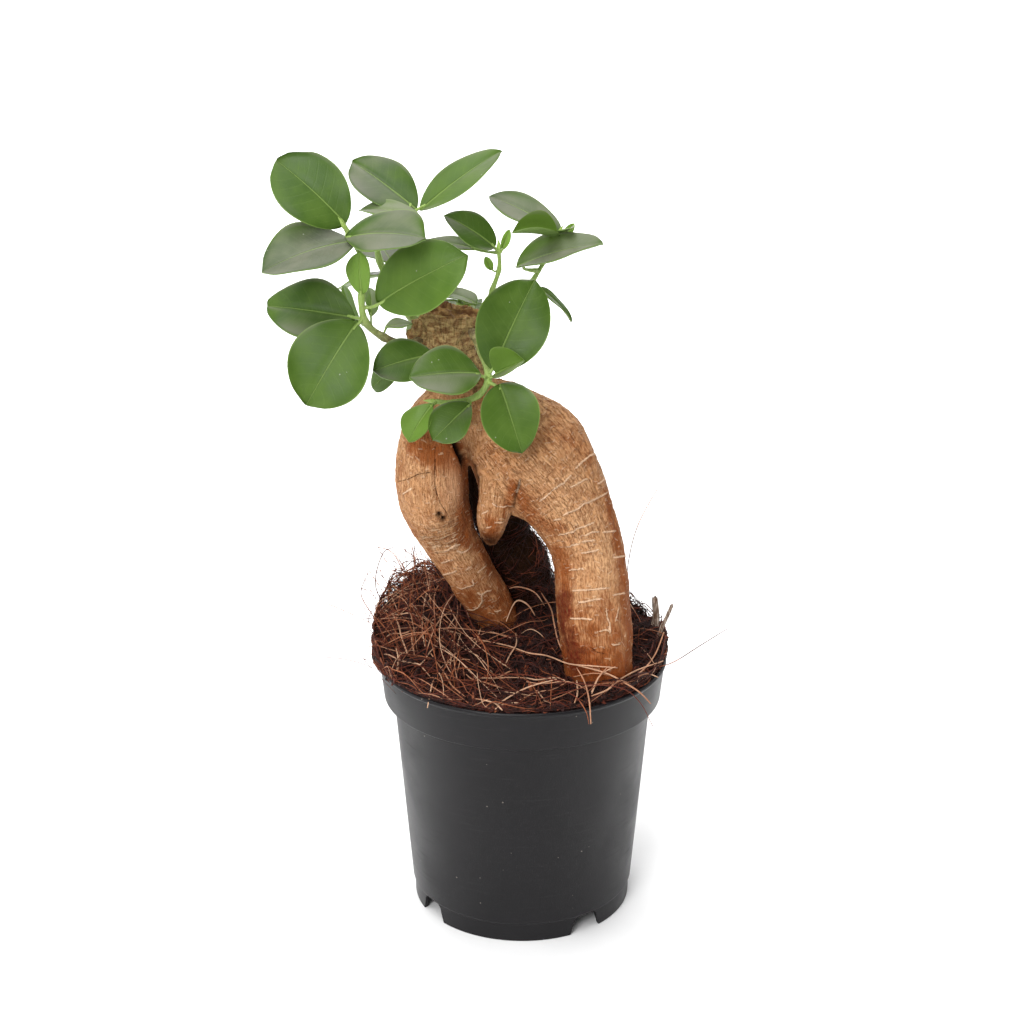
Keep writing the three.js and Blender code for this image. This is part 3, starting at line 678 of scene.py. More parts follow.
RIGHT_LEG_OUTSIDE = [(25.5, -9.2, 136), (27.6, -12.9, 125.5), (29.3, -15.4, 115.5),
                     (31.3, -17.1, 104.1),
                     (32.2, -20.9, 93.6)]
RIGHT_LEG_BASE = [(15.7, -25.2, 89.4), (22.2, -27.5, 89.4), (28.2, -26.1, 89.8)]
LEFT_LEG_INSIDE = [(-13.3, -2.7, 118.8), (-9.6, 2.3, 109.8), (-6.7, 4, 102.9), (-4.3, 5.3, 96.1),
                   (-6.7, 2.1, 93.3)]
LEFT_LEG_BASE = [(-13.5, 1.5, 94.6), (-9.2, 1.8, 92.3)]
LEFT_LEG_OUTSIDE = [(-28.8, -6.6, 120.2), (-24, -2, 110), (-19, 2, 100)]
CROTCH_RIGHT = [(-2.4, -16.5, 142.8), (-4.4, -15.1, 136.1), (-5.2, -14.5, 131)]
CROTCH_TIP = [(-9.9, -10.7, 122.4), (-9.9, -12.3, 124.8), (-8.9, -14.8, 129.1)]
RIGHT_FOOT_EDGE = [(32.2, -16.5, 100), (32.4, -20, 95), (32, -22.6, 89.3), (31.4, -24, 84)]
# Painted shade: each line, with its reach and strength, darkens the bark towards red-brown where shade
# falls, on the bulb's sides and top, above the arch, on the shoulder, on the legs' sides and feet and
# beside the crotch root.
RED_PAINTED_SHADES = [
    (BULB_RIGHT, 6.5, 1.0), (BULB_TOP, 5.5, 1.0), (BULB_UPPER, 4.5, 0.85), (BULB_LEFT, 2.5, 0.5),
    (ABOVE_ARCH, 5, 0.75), (SHOULDER, 8, 0.2), (SHOULDER_EDGE, 4.5, 0.5), (RIGHT_LEG_INSIDE, 4, 0.9),
    (RIGHT_LEG_OUTSIDE, 4, 0.9), (RIGHT_LEG_BASE, 5.5, 1.0), (LEFT_LEG_INSIDE, 4, 0.9),
    (LEFT_LEG_BASE, 6, 0.85), (LEFT_LEG_OUTSIDE, 2.5, 0.6), (CROTCH_RIGHT, 2.2, 0.85),
    (CROTCH_TIP, 4.2, 1.0), (RIGHT_FOOT_EDGE, 4, 1.0),
]
ARCH_SHADES = [(ARCH_CREASE[4:], 1.8, 1.5), (ARCH_CREASE[:5], 1.15, 1.7), (ARCH_CREASE[2:5], 1.7, 1.5)]
RED_BASE = [(15, -24, 91), (18, -27, 87), (23, -28, 84), (28, -26, 83)]
print("shaded lines:", len(RED_PAINTED_SHADES) + len(ARCH_SHADES))

# %% Corky dashes listed one by one
LENTICELS = [
    [(15.7, -14.2, 147), (17.5, -12, 148.3), (19.4, -8.9, 149), (21.3, -4.9, 148.7)],
    [(5.1, -17.7, 138), (6.8, -17.9, 139.6), (8.2, -18, 140.8)],
    [(9.1, -18.1, 141.9), (10.8, -17.5, 142.9), (12.2, -17.2, 143.4), (13.1, -16.8, 144.6),
     (14.1, -16.2, 145.3)],
    [(14.4, -17, 142.2), (15.8, -16.2, 142.6), (17.4, -14.8, 143.1), (19, -13.6, 143.6)],
    [(22.4, -10.6, 141.1), (23.4, -8.7, 141.1), (24.4, -5.9, 141)],
    [(12.2, -18.3, 134), (13.6, -18.2, 134.9), (15.8, -17.7, 135.5), (17.7, -17.1, 136.9),
     (19.5, -15.8, 137), (22.3, -13, 137.5), (24.8, -8.7, 137.5)],
    [(9.3, -18.1, 132), (10.7, -18.2, 132.5)],
    [(10.3, -18.3, 127.2), (13.2, -18.6, 128.3), (14.8, -18.7, 128.8), (15.9, -18.6, 129.8)],
    [(18.4, -18.6, 127.9), (20, -18.2, 128.5), (21.7, -17.4, 128.3)],
    [(12.8, -19.2, 123.8), (14.6, -19.2, 124.7), (16.4, -19.3, 125.3)],
    [(17.9, -19, 126.1), (20.5, -18.6, 126.2)],
    [(17.7, -19.8, 122.6), (20, -19.4, 123), (21.9, -19, 123.4)],
    [(23.5, -16.4, 127.8), (26.9, -12.8, 126.8)],
    [(16.8, -18.4, 130.2), (20.4, -17.3, 131)],
    [(-1, -17.1, 144), (-1.3, -16.9, 142.1), (-2.1, -16.4, 139.8)],
    [(13.3, -20, 117), (15.4, -20.6, 117.5), (17.6, -20.8, 117.9)],
    [(14.9, -21.2, 111.1), (16.9, -22, 111.6), (19.8, -22.3, 111.9), (24.9, -21.8, 112.3)],
    [(16.7, -22.4, 107.9), (18.9, -23, 108.5), (20.8, -23.1, 109), (22.8, -23, 109.3)],
    [(15, -21.9, 102.6), (17.9, -23.7, 103.3), (20.3, -24.5, 103.4)],
    [(27.3, -21.5, 109.9), (29.3, -20.3, 109.7), (31, -17.9, 109.1)],
    [(26.8, -17.1, 120.1), (29, -14.2, 119.3), (30.8, -10.1, 118.1)],
    [(24.8, -23.8, 106.1), (25.3, -24.5, 103.7), (26, -24.8, 102.2), (26.3, -25.5, 99.8)],
    [(23.1, -25.6, 100.1), (24.8, -25.5, 100.4), (26, -25.5, 99.7)],
    [(26.8, -26.2, 95.9), (29.8, -25.2, 95.6)],
    [(29.3, -22.1, 105.9), (28.3, -23.8, 102.9)],
    [(-24.6, -5.2, 113.8), (-23, -6.5, 114.8), (-21.2, -7.2, 115.6)],
    [(-24.3, -1.3, 108.5), (-22.4, -4.2, 110), (-20.3, -5.5, 111.3)],
    [(-23.5, -8.2, 118.8), (-21.8, -8.9, 120), (-20.1, -8.6, 120.9), (-19.1, -8.4, 121)],
    [(-19.6, -7.9, 118.8), (-18.4, -7.4, 118.1), (-16.9, -6.6, 118.4), (-15.9, -5.8, 118.9)],
    [(-17.2, -5.5, 112), (-16, -5.3, 112.8)],
    [(-13.5, -3.4, 110.4), (-12.5, -2.4, 111.1), (-11.6, -1.3, 111.3)],
    [(-10.5, -0.3, 108.1), (-9.7, 1.2, 108.5)],
    [(-19.9, -1.7, 104.6), (-18.7, -2.4, 104.4), (-16.8, -3.3, 105.3), (-14.9, -3.4, 106.5),
     (-15.4, -3.9, 107.8)],
    [(-13.5, -2.1, 102.8), (-12.6, -1.6, 101.9), (-11.2, -1.6, 103.1), (-10, -0.4, 103.2)],
    [(-12.6, -1.6, 101.9), (-12.3, -0.9, 99.6), (-13.6, 0.2, 97.2), (-15.2, 1.6, 95.8),
     (-16.8, 2.9, 95.5)],
    [(-8.2, 1.1, 95.3), (-6.8, 2.1, 95.5)],
    [(-34.7, -9.8, 138), (-33.7, -11, 139.1), (-32.6, -12.2, 140.2)],
    [(-8.9, -16, 136.2), (-7.7, -16.3, 135.5), (-5.8, -15.5, 135), (-3.5, -14.5, 134.6)],
    [(-12.4, -13.8, 132.6), (-10.8, -15.1, 133.7)],
    [(-8, -15, 130.1), (-5.5, -14, 129.9)],
    [(-10.7, -13.6, 128.1), (-9.7, -14.1, 128.5)],
]
print("dashes placed by hand:", len(LENTICELS))

# %% Masks of the marks
crack = near_line(BULB_CRACK, 0.7)
cross_crack = near_line(BULB_CROSS_CRACK, 0.6)
crease = np.maximum.reduce([near_line(line, 0.6) for line in NECK_CREASES])
neck_rough = np.maximum.reduce([near_line(line, 3.0) for line in NECK_CREASES])
arch_crease = near_line(ARCH_CREASE, 1.1)
arch_shade = np.maximum.reduce([share * near_line(line, reach) for line, reach, share in ARCH_SHADES])
tip_shade = 0.9 * near_spot(CROTCH_TIP[0], 4.4)
crotch_crease = near_line(CROTCH_CREASE, 0.45)
# Painted shade along the listed lines.
red_painted_shade = np.maximum.reduce([share * near_line(line, reach) for line, reach, share in RED_PAINTED_SHADES])
pits = sum(near_spot(spot, 0.85) for spot in KNOT_PITS)
swollen_knot = sum(near_spot(spot, 2.2) for spot in KNOT_PITS)
# A smooth swelling on the bulb, which is also painted lighter as a highlight.
panel_and_highlight = near_spot(PALE_PANEL, 3.6, squeeze=(1, 1, 0.55))
red = near_line(RED_PATCH, 4.6)
glow = np.clip(1.3 * near_line(RED_BASE, 6.5), 0, 1)
pale_gap, pale_side = distance_along_bark(LENTICELS)
dark_gap, dark_side = distance_along_bark([BULB_CRACK, BULB_CROSS_CRACK, LEG_SCAR])
print("points near a hand-placed mark:", int((np.minimum(pale_gap, dark_gap) < 0.6).sum()))

# %% [markdown]
# The bark's relief is real geometry where it is larger than about half a millimetre: cracks, the
# knot, ring wrinkles at the neck, grooves along the shoulder and shallow ribs along the legs. Each
# point moves along its normal by a sum of these, worked out from noise round and along the limbs.

# %% Noise on the bark
LIMB_APART = 37.3
SEED_APART = 5.1


def bark_noise(scale_around, scale_along, seed, octaves=3):
    """Noise from about -1 to 1 that runs round the limbs without a seam, and along them."""
    lengthwise = along * scale_along + limb_number * LIMB_APART + seed * SEED_APART
    rows = zip(ring_x * scale_around, ring_y * scale_around, lengthwise)
    return np.array([noise.fractal(Vector(row), 0.6, 2.0, octaves, noise_basis="PERLIN_ORIGINAL")
                     for row in rows])


def eased(values, low, high):
    """Goes smoothly from 0 to 1 while the values go from low to high."""
    share = np.clip((values - low) / (high - low), 0, 1)
    return share * share * (3 - 2 * share)


furrows = bark_noise(0.62, 0.2, 3)
wrinkles = bark_noise(0.14, 0.95, 15)
ribs = bark_noise(0.42, 0.07, 9)
lumps = bark_noise(0.10, 0.09, 21, octaves=2)
grit = bark_noise(0.9, 0.9, 33, octaves=2)
ragged_height = 3 * bark_noise(0.3, 0.3, 51, octaves=2)
saw_marks = np.array([noise.fractal(Vector(p) * 0.55, 0.7, 2.0, 3) for p in wood_points])
print("grit from", grit.min().round(2), "to", grit.max().round(2))

# %% Bark relief
STUMP_HEIGHTS = (166, 178)
SHOULDER_HEIGHTS = (112, 136)
CUT_HEIGHT = 190
STUB_FACE = 32
on_right, on_left, on_rear, on_stub = [
    limb_number == list(LIMBS).index(name)
    for name in ("right_leg", "left_leg", "rear_root", "branch_stub")]
facing_x, facing_y, facing_z = wood_normals.T
height = wood_points[:, 2]

stump_rough = eased(height + ragged_height, *STUMP_HEIGHTS)
shoulder = np.where(on_right, eased(height, *SHOULDER_HEIGHTS), 0.35)
rough_bark = np.clip(shoulder + np.where(on_rear, 0.9, 0.0) + 0.6 * stump_rough, 0, 1)
rough_bark = np.where(on_left, 0.12 + 0.7 * neck_rough, rough_bark)
sawn = eased(height, CUT_HEIGHT - 0.6, CUT_HEIGHT + 0.8) * eased(facing_z, 0.35, 0.75)
stub_end = eased(-facing_x, 0.7, 0.9) * eased(-wood_points[:, 0], STUB_FACE - 1, STUB_FACE + 0.4)
sawn = np.where(on_stub, stub_end, sawn)
seam = 1 - eased(limb_margin, 0.0, 0.07)

grown = (
    0.5 * lumps
    + 0.26 * rough_bark * (furrows - 0.3 * np.abs(furrows))
    + 0.38 * neck_rough * on_left * wrinkles
    + stump_rough * (0.75 * lumps + 0.5 * furrows + 0.25 * grit)
    + 0.24 * (1.1 - rough_bark) * ribs
    + 0.14 * grit
)
relief = (
    grown * (1 - seam) + 0.3 * seam * saw_marks
    + 0.22 * np.exp(-(pale_gap / 0.5) ** 2)
    - 0.5 * crack - 0.2 * cross_crack - 0.25 * crease - 0.9 * crotch_crease - 2.2 * arch_crease
    + 0.6 * swollen_knot - 2.0 * pits + 0.35 * panel_and_highlight
    + 0.9 * sawn * (saw_marks - 0.5)
)
moved = (wood_points + wood_normals * relief[:, None]) * MM + np.array(AXIS)
rootstock.data.vertices.foreach_set("co", moved.ravel())
rootstock.data.update()
print(f"relief from {relief.min():.2f} to {relief.max():.2f} mm")

# %% [markdown]
# The bark's colours depend on the same values, so they are kept with the points as attributes:
# where a point lies on its limb, how dark it is painted as shade, how red or sawn it is, how light
# its panel is painted as a highlight, how far it is from a listed line, and how much the soil has
# stained it or painted shade has darkened it. The stain is strongest just above the coir, and the
# painted shade on the legs' inner and outer sides and along the shaded lines.

# %% Keep the bark's attributes
COIR_LINE = 86
DEEP_STAIN, LIGHT_STAIN, LEFT_STAIN = (2, 14), (10, 40), (10, 46)
REAR_SHADE_HEIGHTS = (139, 155)
RIGHT_SHADE_HEIGHTS = (115, 142)
LEFT_SHADE_HEIGHTS = (140, 158)
WAY_APART = 11
RING_APART = 60
ATTRIBUTE_KINDS = {1: ("FLOAT", "value"), 3: ("FLOAT_VECTOR", "vector"), 4: ("FLOAT_COLOR", "color")}


def keep_attribute(piece, name, *columns):
    """Stores one, three or four values for each point of a piece, for its material to read."""
    kind, key = ATTRIBUTE_KINDS[len(columns)]
    layer = piece.data.attributes.new(name, kind, "POINT")
    layer.data.foreach_set(key, np.stack(columns, 1).astype(np.float32).ravel())


# Painted shade: near black in the knot's pits, along the creases and the cross crack, in the gap under
# the arch, at the crotch root's tip and on the rear root low down.
painted_shade = np.clip(0.2 * cross_crack + 0.12 * crease + 0.85 * crotch_crease + 1.3 * pits, 0, 1)
rear_shade = np.where(on_rear, 0.97 * (1 - eased(height, *REAR_SHADE_HEIGHTS)), 0)
painted_shade = np.clip(np.maximum.reduce([painted_shade, arch_shade, tip_shade, rear_shade]), 0, 1)
over_coir = height - COIR_LINE
deep, light, left = [1 - eased(over_coir, *heights) for heights in (DEEP_STAIN, LIGHT_STAIN, LEFT_STAIN)]
stain_and_shade = np.maximum.reduce([deep, 0.78 * light, 0.8 * left * on_left])
# Painted shade on the sides turned from the light, by the way the surface faces: both sides of the right
# leg and the inner side of the left leg, low down. It is laid on with the soil's stain.
right_sides = eased(np.abs(facing_x), 0.35, 0.95) * (1 - eased(height, *RIGHT_SHADE_HEIGHTS))
left_inner = eased(facing_x, 0.35, 0.95) * (1 - eased(height, *LEFT_SHADE_HEIGHTS))
shaded_side = np.where(on_left, left_inner, np.where(on_right, right_sides, 0))
stain_and_shade = np.maximum.reduce([stain_and_shade, 0.8 * shaded_side, red_painted_shade])
turned_away = eased(facing_y, -0.35, 0.05)
keep_attribute(rootstock, "bark_way", around, along, limb_number * WAY_APART)
keep_attribute(rootstock, "bark_ring", ring_x, ring_y, along + limb_number * RING_APART)
keep_attribute(rootstock, "bark_marks", painted_shade, red, sawn, panel_and_highlight)
keep_attribute(rootstock, "bark_lines", pale_gap, pale_side, dark_gap, dark_side)
keep_attribute(rootstock, "bark_state", stain_and_shade, stump_rough, turned_away, rough_bark)
keep_attribute(rootstock, "bark_more", neck_rough * on_left, glow, seam)
report(rootstock)

# %% [markdown]
# The bark is tan, thin and dry. It has a fine lengthwise grain, short dark grooves where it is
# rough, and pale corky dashes that lie across the limb: lenticels, which the root breathes through.
# Those that show most are listed one by one. The others come from rows of cells round the limb, each
# with its own dash. Creases, the gap under the arch and other hollows are painted dark brown to near
# black as shade, the legs' sides and some edges are painted a darker red-brown as shade, and the
# bulb's smooth panel is painted lighter as a highlight. A peeled patch low on the right leg is red,
# and the sawn top shows grey-brown wood with dark pits.

# %% Effect: rows of corky dashes
corky, given, mask = new_effect("corky_dashes", Rows=0.3, Cells=0.22, Thin=0.06, Some=0.5)
axes = add(corky, "SeparateXYZ", {"Vector": given["Vector"]}).outputs
drift = times(corky, fine_noise(corky, stretch(corky, given["Vector"], 0.16, 0.05, 1), 1.0), 3.0)
row_place = calc(corky, "MULTIPLY_ADD", axes["Y"], given["Rows"], drift)
row = calc(corky, "FLOOR", row_place)
cell_place = calc(corky, "MULTIPLY_ADD", axes["X"], given["Cells"], times(corky, row, 0.37))
cell = calc(corky, "FLOOR", cell_place)
cell_key = add(corky, "CombineXYZ", {0: cell, 1: row, 2: axes["Z"]}).outputs[0]
chance = add(corky, "TexWhiteNoise", {"Vector": cell_key}, noise_dimensions="3D").outputs["Color"]
chance = add(corky, "SeparateColor", {"Color": chance}).outputs
off_row = calc(corky, "SUBTRACT", calc(corky, "FRACT", row_place), 0.5)
off_row = calc(corky, "ADD", off_row, calc(corky, "MULTIPLY_ADD", chance[0], 0.7, -0.35))
off_cell = calc(corky, "SUBTRACT", calc(corky, "FRACT", cell_place), 0.5)
slope = calc(corky, "MULTIPLY_ADD", chance[1], 0.5, -0.25)
off_row = calc(corky, "ABSOLUTE", calc(corky, "MULTIPLY_ADD", off_cell, slope, off_row))
thin_from, thin_to = times(corky, given["Thin"], 0.6), times(corky, given["Thin"], 1.3)
thin_line = ease(corky, off_row, thin_from, thin_to, 1.0, 0.0)
length_half = calc(corky, "MULTIPLY_ADD", chance[1], 0.26, 0.2)
ends = calc(corky, "LESS_THAN", calc(corky, "ABSOLUTE", off_cell), length_half)
some = calc(corky, "GREATER_THAN", chance[2], given["Some"])
corky.links.new(times(corky, times(corky, thin_line, ends), some), mask)
print("nodes in the dashes:", len(corky.nodes))

# %% Bark patterns
bark, tree, shader, place = new_material("banyan_bark", roughness=0.7, specular=0.04)
way, ring = stored(tree, "bark_way"), stored(tree, "bark_ring")
painted_shade_here, red_here, sawn_here, panel_and_highlight_here = stored_four(tree, "bark_marks")
soil_stain_and_shade, olive_tone, away_here, rugged = stored_four(tree, "bark_state")
pale_near, pale_across, dark_near, dark_across = stored_four(tree, "bark_lines")
wrinkled, base_glow, limb_border = stored_three(tree, "bark_more")
clear_bark = opposite(tree, limb_border)


def bark_streaks(fine_round, fine_along, low, high, scale=1):
    """Streaks as fine as asked round and along the limbs, gone where two limbs meet."""
    way_on_ring = stretch(tree, ring, fine_round, fine_round, fine_along)
    pattern = use_effect(tree, streaky, way_on_ring, Scale=scale, Low=low, High=high)
    return times(tree, pattern, clear_bark)


patches = use_effect(tree, cloudy, place, Scale=55, Low=0.34, High=0.66)
small_patches = use_effect(tree, cloudy, place, Scale=260, Low=0.36, High=0.7)
mottle = use_effect(tree, cloudy, place, Scale=120, Low=0.42, High=0.62)
speckle = use_effect(tree, cloudy, place, Scale=800, Low=0.42, High=0.62)
seam_mottle = use_effect(tree, cloudy, place, Scale=700, Low=0.42, High=0.6)
grain = bark_streaks(2.6, 0.24, 0.44, 0.64)
fine_grain = bark_streaks(5.0, 0.6, 0.40, 0.66)
flecks = bark_streaks(1.7, 0.8, 0.52, 0.64)
pale_flecks = bark_streaks(1.2, 1.0, 0.55, 0.68, scale=1.3)
grooves = times(tree, bark_streaks(2.0, 0.34, 0.53, 0.68), ease(tree, rugged, 0.0, 1.0, 0.12, 0.75))
shreds = use_effect(tree, streaky, stretch(tree, ring, 0.34, 0.34, 0.9), Scale=1, Low=0.34, High=0.66)
rings = fine_noise(tree, stretch(tree, ring, 0.42, 0.42, 2.0), 1.0, 3.0)
ring_dark = times(tree, ease(tree, rings, 0.5, 0.36), wrinkled)
ring_pale = times(tree, ease(tree, rings, 0.54, 0.66), wrinkled)
ragged = fine_noise(tree, place, 1500.0)
print("nodes in the bark so far:", len(tree.nodes))

# %% Cracks and corky dashes
def drawn_line(near, across, spread, thin, soft, reach):
    """A given line with ragged edges, from the distances to it and across it."""
    width = calc(tree, "MULTIPLY_ADD", ragged, spread, -thin)
    edge = calc(tree, "SUBTRACT", calc(tree, "ABSOLUTE", across), width)
    return times(tree, ease(tree, edge, -soft, 0.12, 1.0, 0.0),
                 ease(tree, near, reach, reach + 0.3, 1.0, 0.0))


def ragged_share(share, low, high):
    """A mask whose edge follows the patches and the grain of the bark."""
    shifted = calc(tree, "ADD", share, calc(tree, "MULTIPLY_ADD", small_patches, 0.4, -0.2))
    shifted = calc(tree, "ADD", shifted, calc(tree, "MULTIPLY_ADD", grain, 0.24, -0.12))
    return ease(tree, shifted, low, high)


pale_line = drawn_line(pale_near, pale_across, spread=0.75, thin=0.12, soft=0.1, reach=0.45)
dark_line = drawn_line(dark_near, dark_across, spread=0.62, thin=0.26, soft=0.08, reach=0.4)
dashes = use_effect(tree, corky, way, Rows=0.3, Cells=0.22, Thin=0.065, Some=0.42)
dashes = times(tree, dashes, ease(tree, away_here, 0.0, 1.0, 0.12, 1.0))
short_dashes = use_effect(tree, corky, way, Rows=0.52, Cells=0.5, Thin=0.10, Some=0.7)
spread_dashes = calc(tree, "MAXIMUM", dashes, times(tree, short_dashes, 0.5))
for bare_bark in (clear_bark, opposite(tree, olive_tone), opposite(tree, red_here)):
    spread_dashes = times(tree, spread_dashes, bare_bark)
cork = calc(tree, "MAXIMUM", pale_line, spread_dashes)
peeled = calc(tree, "ADD", red_here, calc(tree, "MULTIPLY_ADD", ragged, 0.7, -0.35))

# %% Bark colour and bumps
tan_bark = tint(tree, patches, (0.46, 0.206, 0.080), (0.65, 0.36, 0.175))
torn_wood = tint(tree, shreds, (0.130, 0.072, 0.028), (0.50, 0.37, 0.165))
sawn_wood = tint(tree, small_patches, (0.13, 0.058, 0.022), (0.42, 0.25, 0.095))
colour = paint(
    tree, tan_bark,
    (mottle, 0.36, (0.38, 0.14, 0.048)),
    (small_patches, 0.4, (0.72, 0.44, 0.235)),
    (fine_grain, 0.26, (0.76, 0.48, 0.27)),
    (pale_flecks, 0.4, (0.78, 0.51, 0.30)),
    # the soil's stain just above the coir, and painted shade on the legs' sides and along the listed
    # lines
    (ragged_share(soil_stain_and_shade, 0.1, 0.9), 0.94, (0.265, 0.062, 0.010)),
    (ragged_share(base_glow, 0.1, 0.9), 1, (0.255, 0.054, 0.011)),
    (ragged_share(peeled, 0.15, 0.8), 0.97, (0.095, 0.010, 0.005)),
    (speckle, 0.3, (0.26, 0.09, 0.032)),
    (grain, 0.34, (0.23, 0.078, 0.026)),
    (flecks, 0.5, (0.25, 0.075, 0.024)),
    (grooves, 0.8, (0.17, 0.055, 0.02)),
    (ring_dark, 0.36, (0.24, 0.078, 0.027)),
    (ring_pale, 0.85, (0.84, 0.57, 0.36)),
    # painted highlight on the bulb's smooth panel
    (panel_and_highlight_here, 0.75, (0.60, 0.33, 0.18)),
    (times(tree, seam_mottle, limb_border), 0.5, (0.20, 0.07, 0.024)),
    (ragged_share(olive_tone, 0.1, 0.9), 0.8, torn_wood),
    (cork, 0.8, (0.82, 0.55, 0.36)),
    (sawn_here, 1, sawn_wood),
    (dark_line, 0.75, (0.05, 0.018, 0.009)),
    # painted shade: near black in the hollows, the gap under the arch and on the rear root
    (painted_shade_here, 1, (0.012, 0.005, 0.003)),
)
feed(tree, colour, shader, "Base Color")
rise = pile(tree, (grain, -0.3), (grooves, -1.0), (flecks, -0.5), (cork, 0.8), (dark_line, -1.0),
            (calc(tree, "SUBTRACT", ring_pale, ring_dark), 0.9), (small_patches, 0.2))
raise_surface(tree, shader, rise, 0.0004)
feed(tree, ease(tree, painted_shade_here, 0.0, 1.0, 0.55, 1.0), shader, "Roughness")
rootstock.data.materials.clear()
rootstock.data.materials.append(bark)
print("bark attributes:", [a.name for a in rootstock.data.attributes if a.name.startswith("bark")])

# %% [markdown]
# The pot is filled with coir: dark decayed pith, husk crumbs and coconut fibres. The bed is a
# turned plug whose top is lifted into humps. The root ball stands highest at the back left and
# bulges over the rim at the left. Crumbs and thousands of fibres are then laid on it.

# %% Height of the coir
HUMPS = [(-31, 21, 16, 17), (-4, 28, 12, 19), (26, 26, 8, 17), (41, 4, 6, 10), (0, 2, 6, 16),
         (25, -28, 3.5, 9)]
COIR_EDGE = 81
COIR_REACH = RIM_RADIUS - POT_WALL - 0.5
LIP_REACH = 3


def coir_height(x, y):
    """The surface of the coir at a place in the pot: the humps give their place, height and spread."""
    lifts = [h * math.exp(-((x - hx) ** 2 + (y - hy) ** 2) / (2 * s * s)) for hx, hy, h, s in HUMPS]
    return COIR_EDGE + 0.75 * max(lifts) + 0.25 * sum(lifts)


def lip_reach(x, y):
    """How far the root ball bulges over the rim in the direction of a place."""
    left = math.exp(-(math.atan2(y - 0.15 * abs(x), -x) / 0.75) ** 2)
    right = 0.6 * math.exp(-((math.atan2(y, x) - 0.2) / 0.4) ** 2)
    share = max(left, right)
    return LIP_REACH * share if share > 0.1 else 0


def coir_surface(x, y):
    """The coir's height with its clumps and hollows."""
    clump = noise.fractal(Vector((x * 0.17, y * 0.17, 0)), 0.8, 2.0, 3)
    return coir_height(x, y) + 1.9 * clump - 0.5


print("coir height at the back left:", round(coir_height(-31, 21), 1), "mm")

# %% Coir bed
BED_RINGS = 44
BED_STEPS = 180
BED_FOOT = FLOOR_HEIGHT + POT_WALL + 0.4
BED_GAP = POT_WALL + 0.4
BED_EDGE = 80
BED_UNSHAPED = 100
BED_EDGE_WIDTH = 6

bed_bm = bmesh.new()
bed_line = [
    (0, BED_FOOT),
    (BODY_BOTTOM_RADIUS - BED_GAP, BED_FOOT),
    (BODY_TOP_RADIUS - BED_GAP, BAND_FOOT),
    (BAND_LOWER_RADIUS - BED_GAP, BAND_FOOT + 2.4),
    (COIR_REACH, BED_EDGE),
]
bed_line += [(COIR_REACH * (1 - i / BED_RINGS), BED_UNSHAPED) for i in range(BED_RINGS + 1)]
draw_chain(bed_bm, [(radius, 0, z) for radius, z in bed_line])
spin_round(bed_bm, BED_STEPS)
for vert in bed_bm.verts:
    if vert.co.z <= BED_EDGE + 1:
        continue
    x, y = vert.co.x, vert.co.y
    radius = math.hypot(x, y)
    edge = max(0.0, 1 - (COIR_REACH - radius) / BED_EDGE_WIDTH)
    push = 1 + lip_reach(x, y) * edge / COIR_REACH if radius > 1 else 1
    crumb = noise.fractal(Vector((x * 0.7, y * 0.7, 5)), 0.9, 2.0, 3) * 0.7
    sink = 0.8 + 0.5 * edge ** 3
    lowest = POT_HEIGHT - 1.2 + (1.6 if push > 1.01 else 0)
    vert.co = Vector((x * push, y * push, max(coir_surface(x, y) - sink + crumb, lowest)))
print("faces in the coir bed:", len(bed_bm.faces))

# %% [markdown]
# Coir fibres run from nearly black through red-brown to straw. Each strand keeps its own tone as an
# attribute, so one material serves the bed, the crumbs and every strand.

# %% Coir material
TONES = [(0.0, (0.006, 0.002, 0.0015)), (0.25, (0.032, 0.006, 0.004)), (0.5, (0.135, 0.024, 0.009)),
         (0.75, (0.38, 0.12, 0.045)), (1.0, (0.72, 0.44, 0.28))]
coir, tree, shader, place = new_material("coconut_coir", roughness=0.7, specular=0.3)
speckle = fine_noise(tree, place, 900.0, 4.0)
blotch = use_effect(tree, cloudy, place, Scale=160, Low=0.3, High=0.7)
shade = calc(tree, "ADD", stored(tree, "tone", "Fac"), calc(tree, "MULTIPLY_ADD", speckle, 0.22, -0.11))
ramp = add(tree, "ValToRGB", {"Fac": shade})
for position, _ in TONES[1:-1]:
    ramp.color_ramp.elements.new(position)
for element, (position, value) in zip(ramp.color_ramp.elements, TONES):
    element.position = position
    element.color = (*value, 1)
coir_colour = paint(tree, ramp.outputs["Color"], (blotch, 0.3, (0.02, 0.008, 0.005)))
feed(tree, coir_colour, shader, "Base Color")
raise_surface(tree, shader, speckle, 0.0004)
bed = to_object("coir_bed", bed_bm, coir)
keep_attribute(bed, "tone", [0.09 + 0.10 * noise.noise(Vector(v.co) * 700) for v in bed.data.vertices])
report(bed)

# %% [markdown]
# A strand of coir wanders: it is laid down, turns a little at every step, and its ends dip under
# its neighbours. Thousands are needed, so they are drawn as splines of one curve, given a round
# section and turned into a mesh at once. That is many times quicker than lofting each, and gives
# the same tubes. Nothing stands inside the wood, so strands that would enter a leg are left out.

# %% Strands
LEG_STATIONS = limb_stations()[::2]
BOX_LOW, BOX_HIGH = [[(corner[i] - AXIS[i]) / MM for i in range(3)] for corner in cad_box]


def on_circle(radius, angle):
    """A place on a circle round the pot's axis."""
    return radius * math.cos(angle), radius * math.sin(angle)


def clamp(value, low, high):
    """The value, held between two limits."""
    return min(high, max(low, value))


def clear_of_wood(x, y, z, gap=0.3):
    """True if a place lies outside every limb of the rootstock."""
    away = np.linalg.norm(LEG_STATIONS[:, PLACE] - (x, y, z), axis=1)
    return bool((away > LEG_STATIONS[:, SIZE] + gap).all())


def keep_inside(place, margin):
    """Holds a place inside the box of the solids."""
    bounds = zip(place, BOX_LOW, BOX_HIGH)
    return Vector([clamp(value, low + margin, high - margin) for value, low, high in bounds])


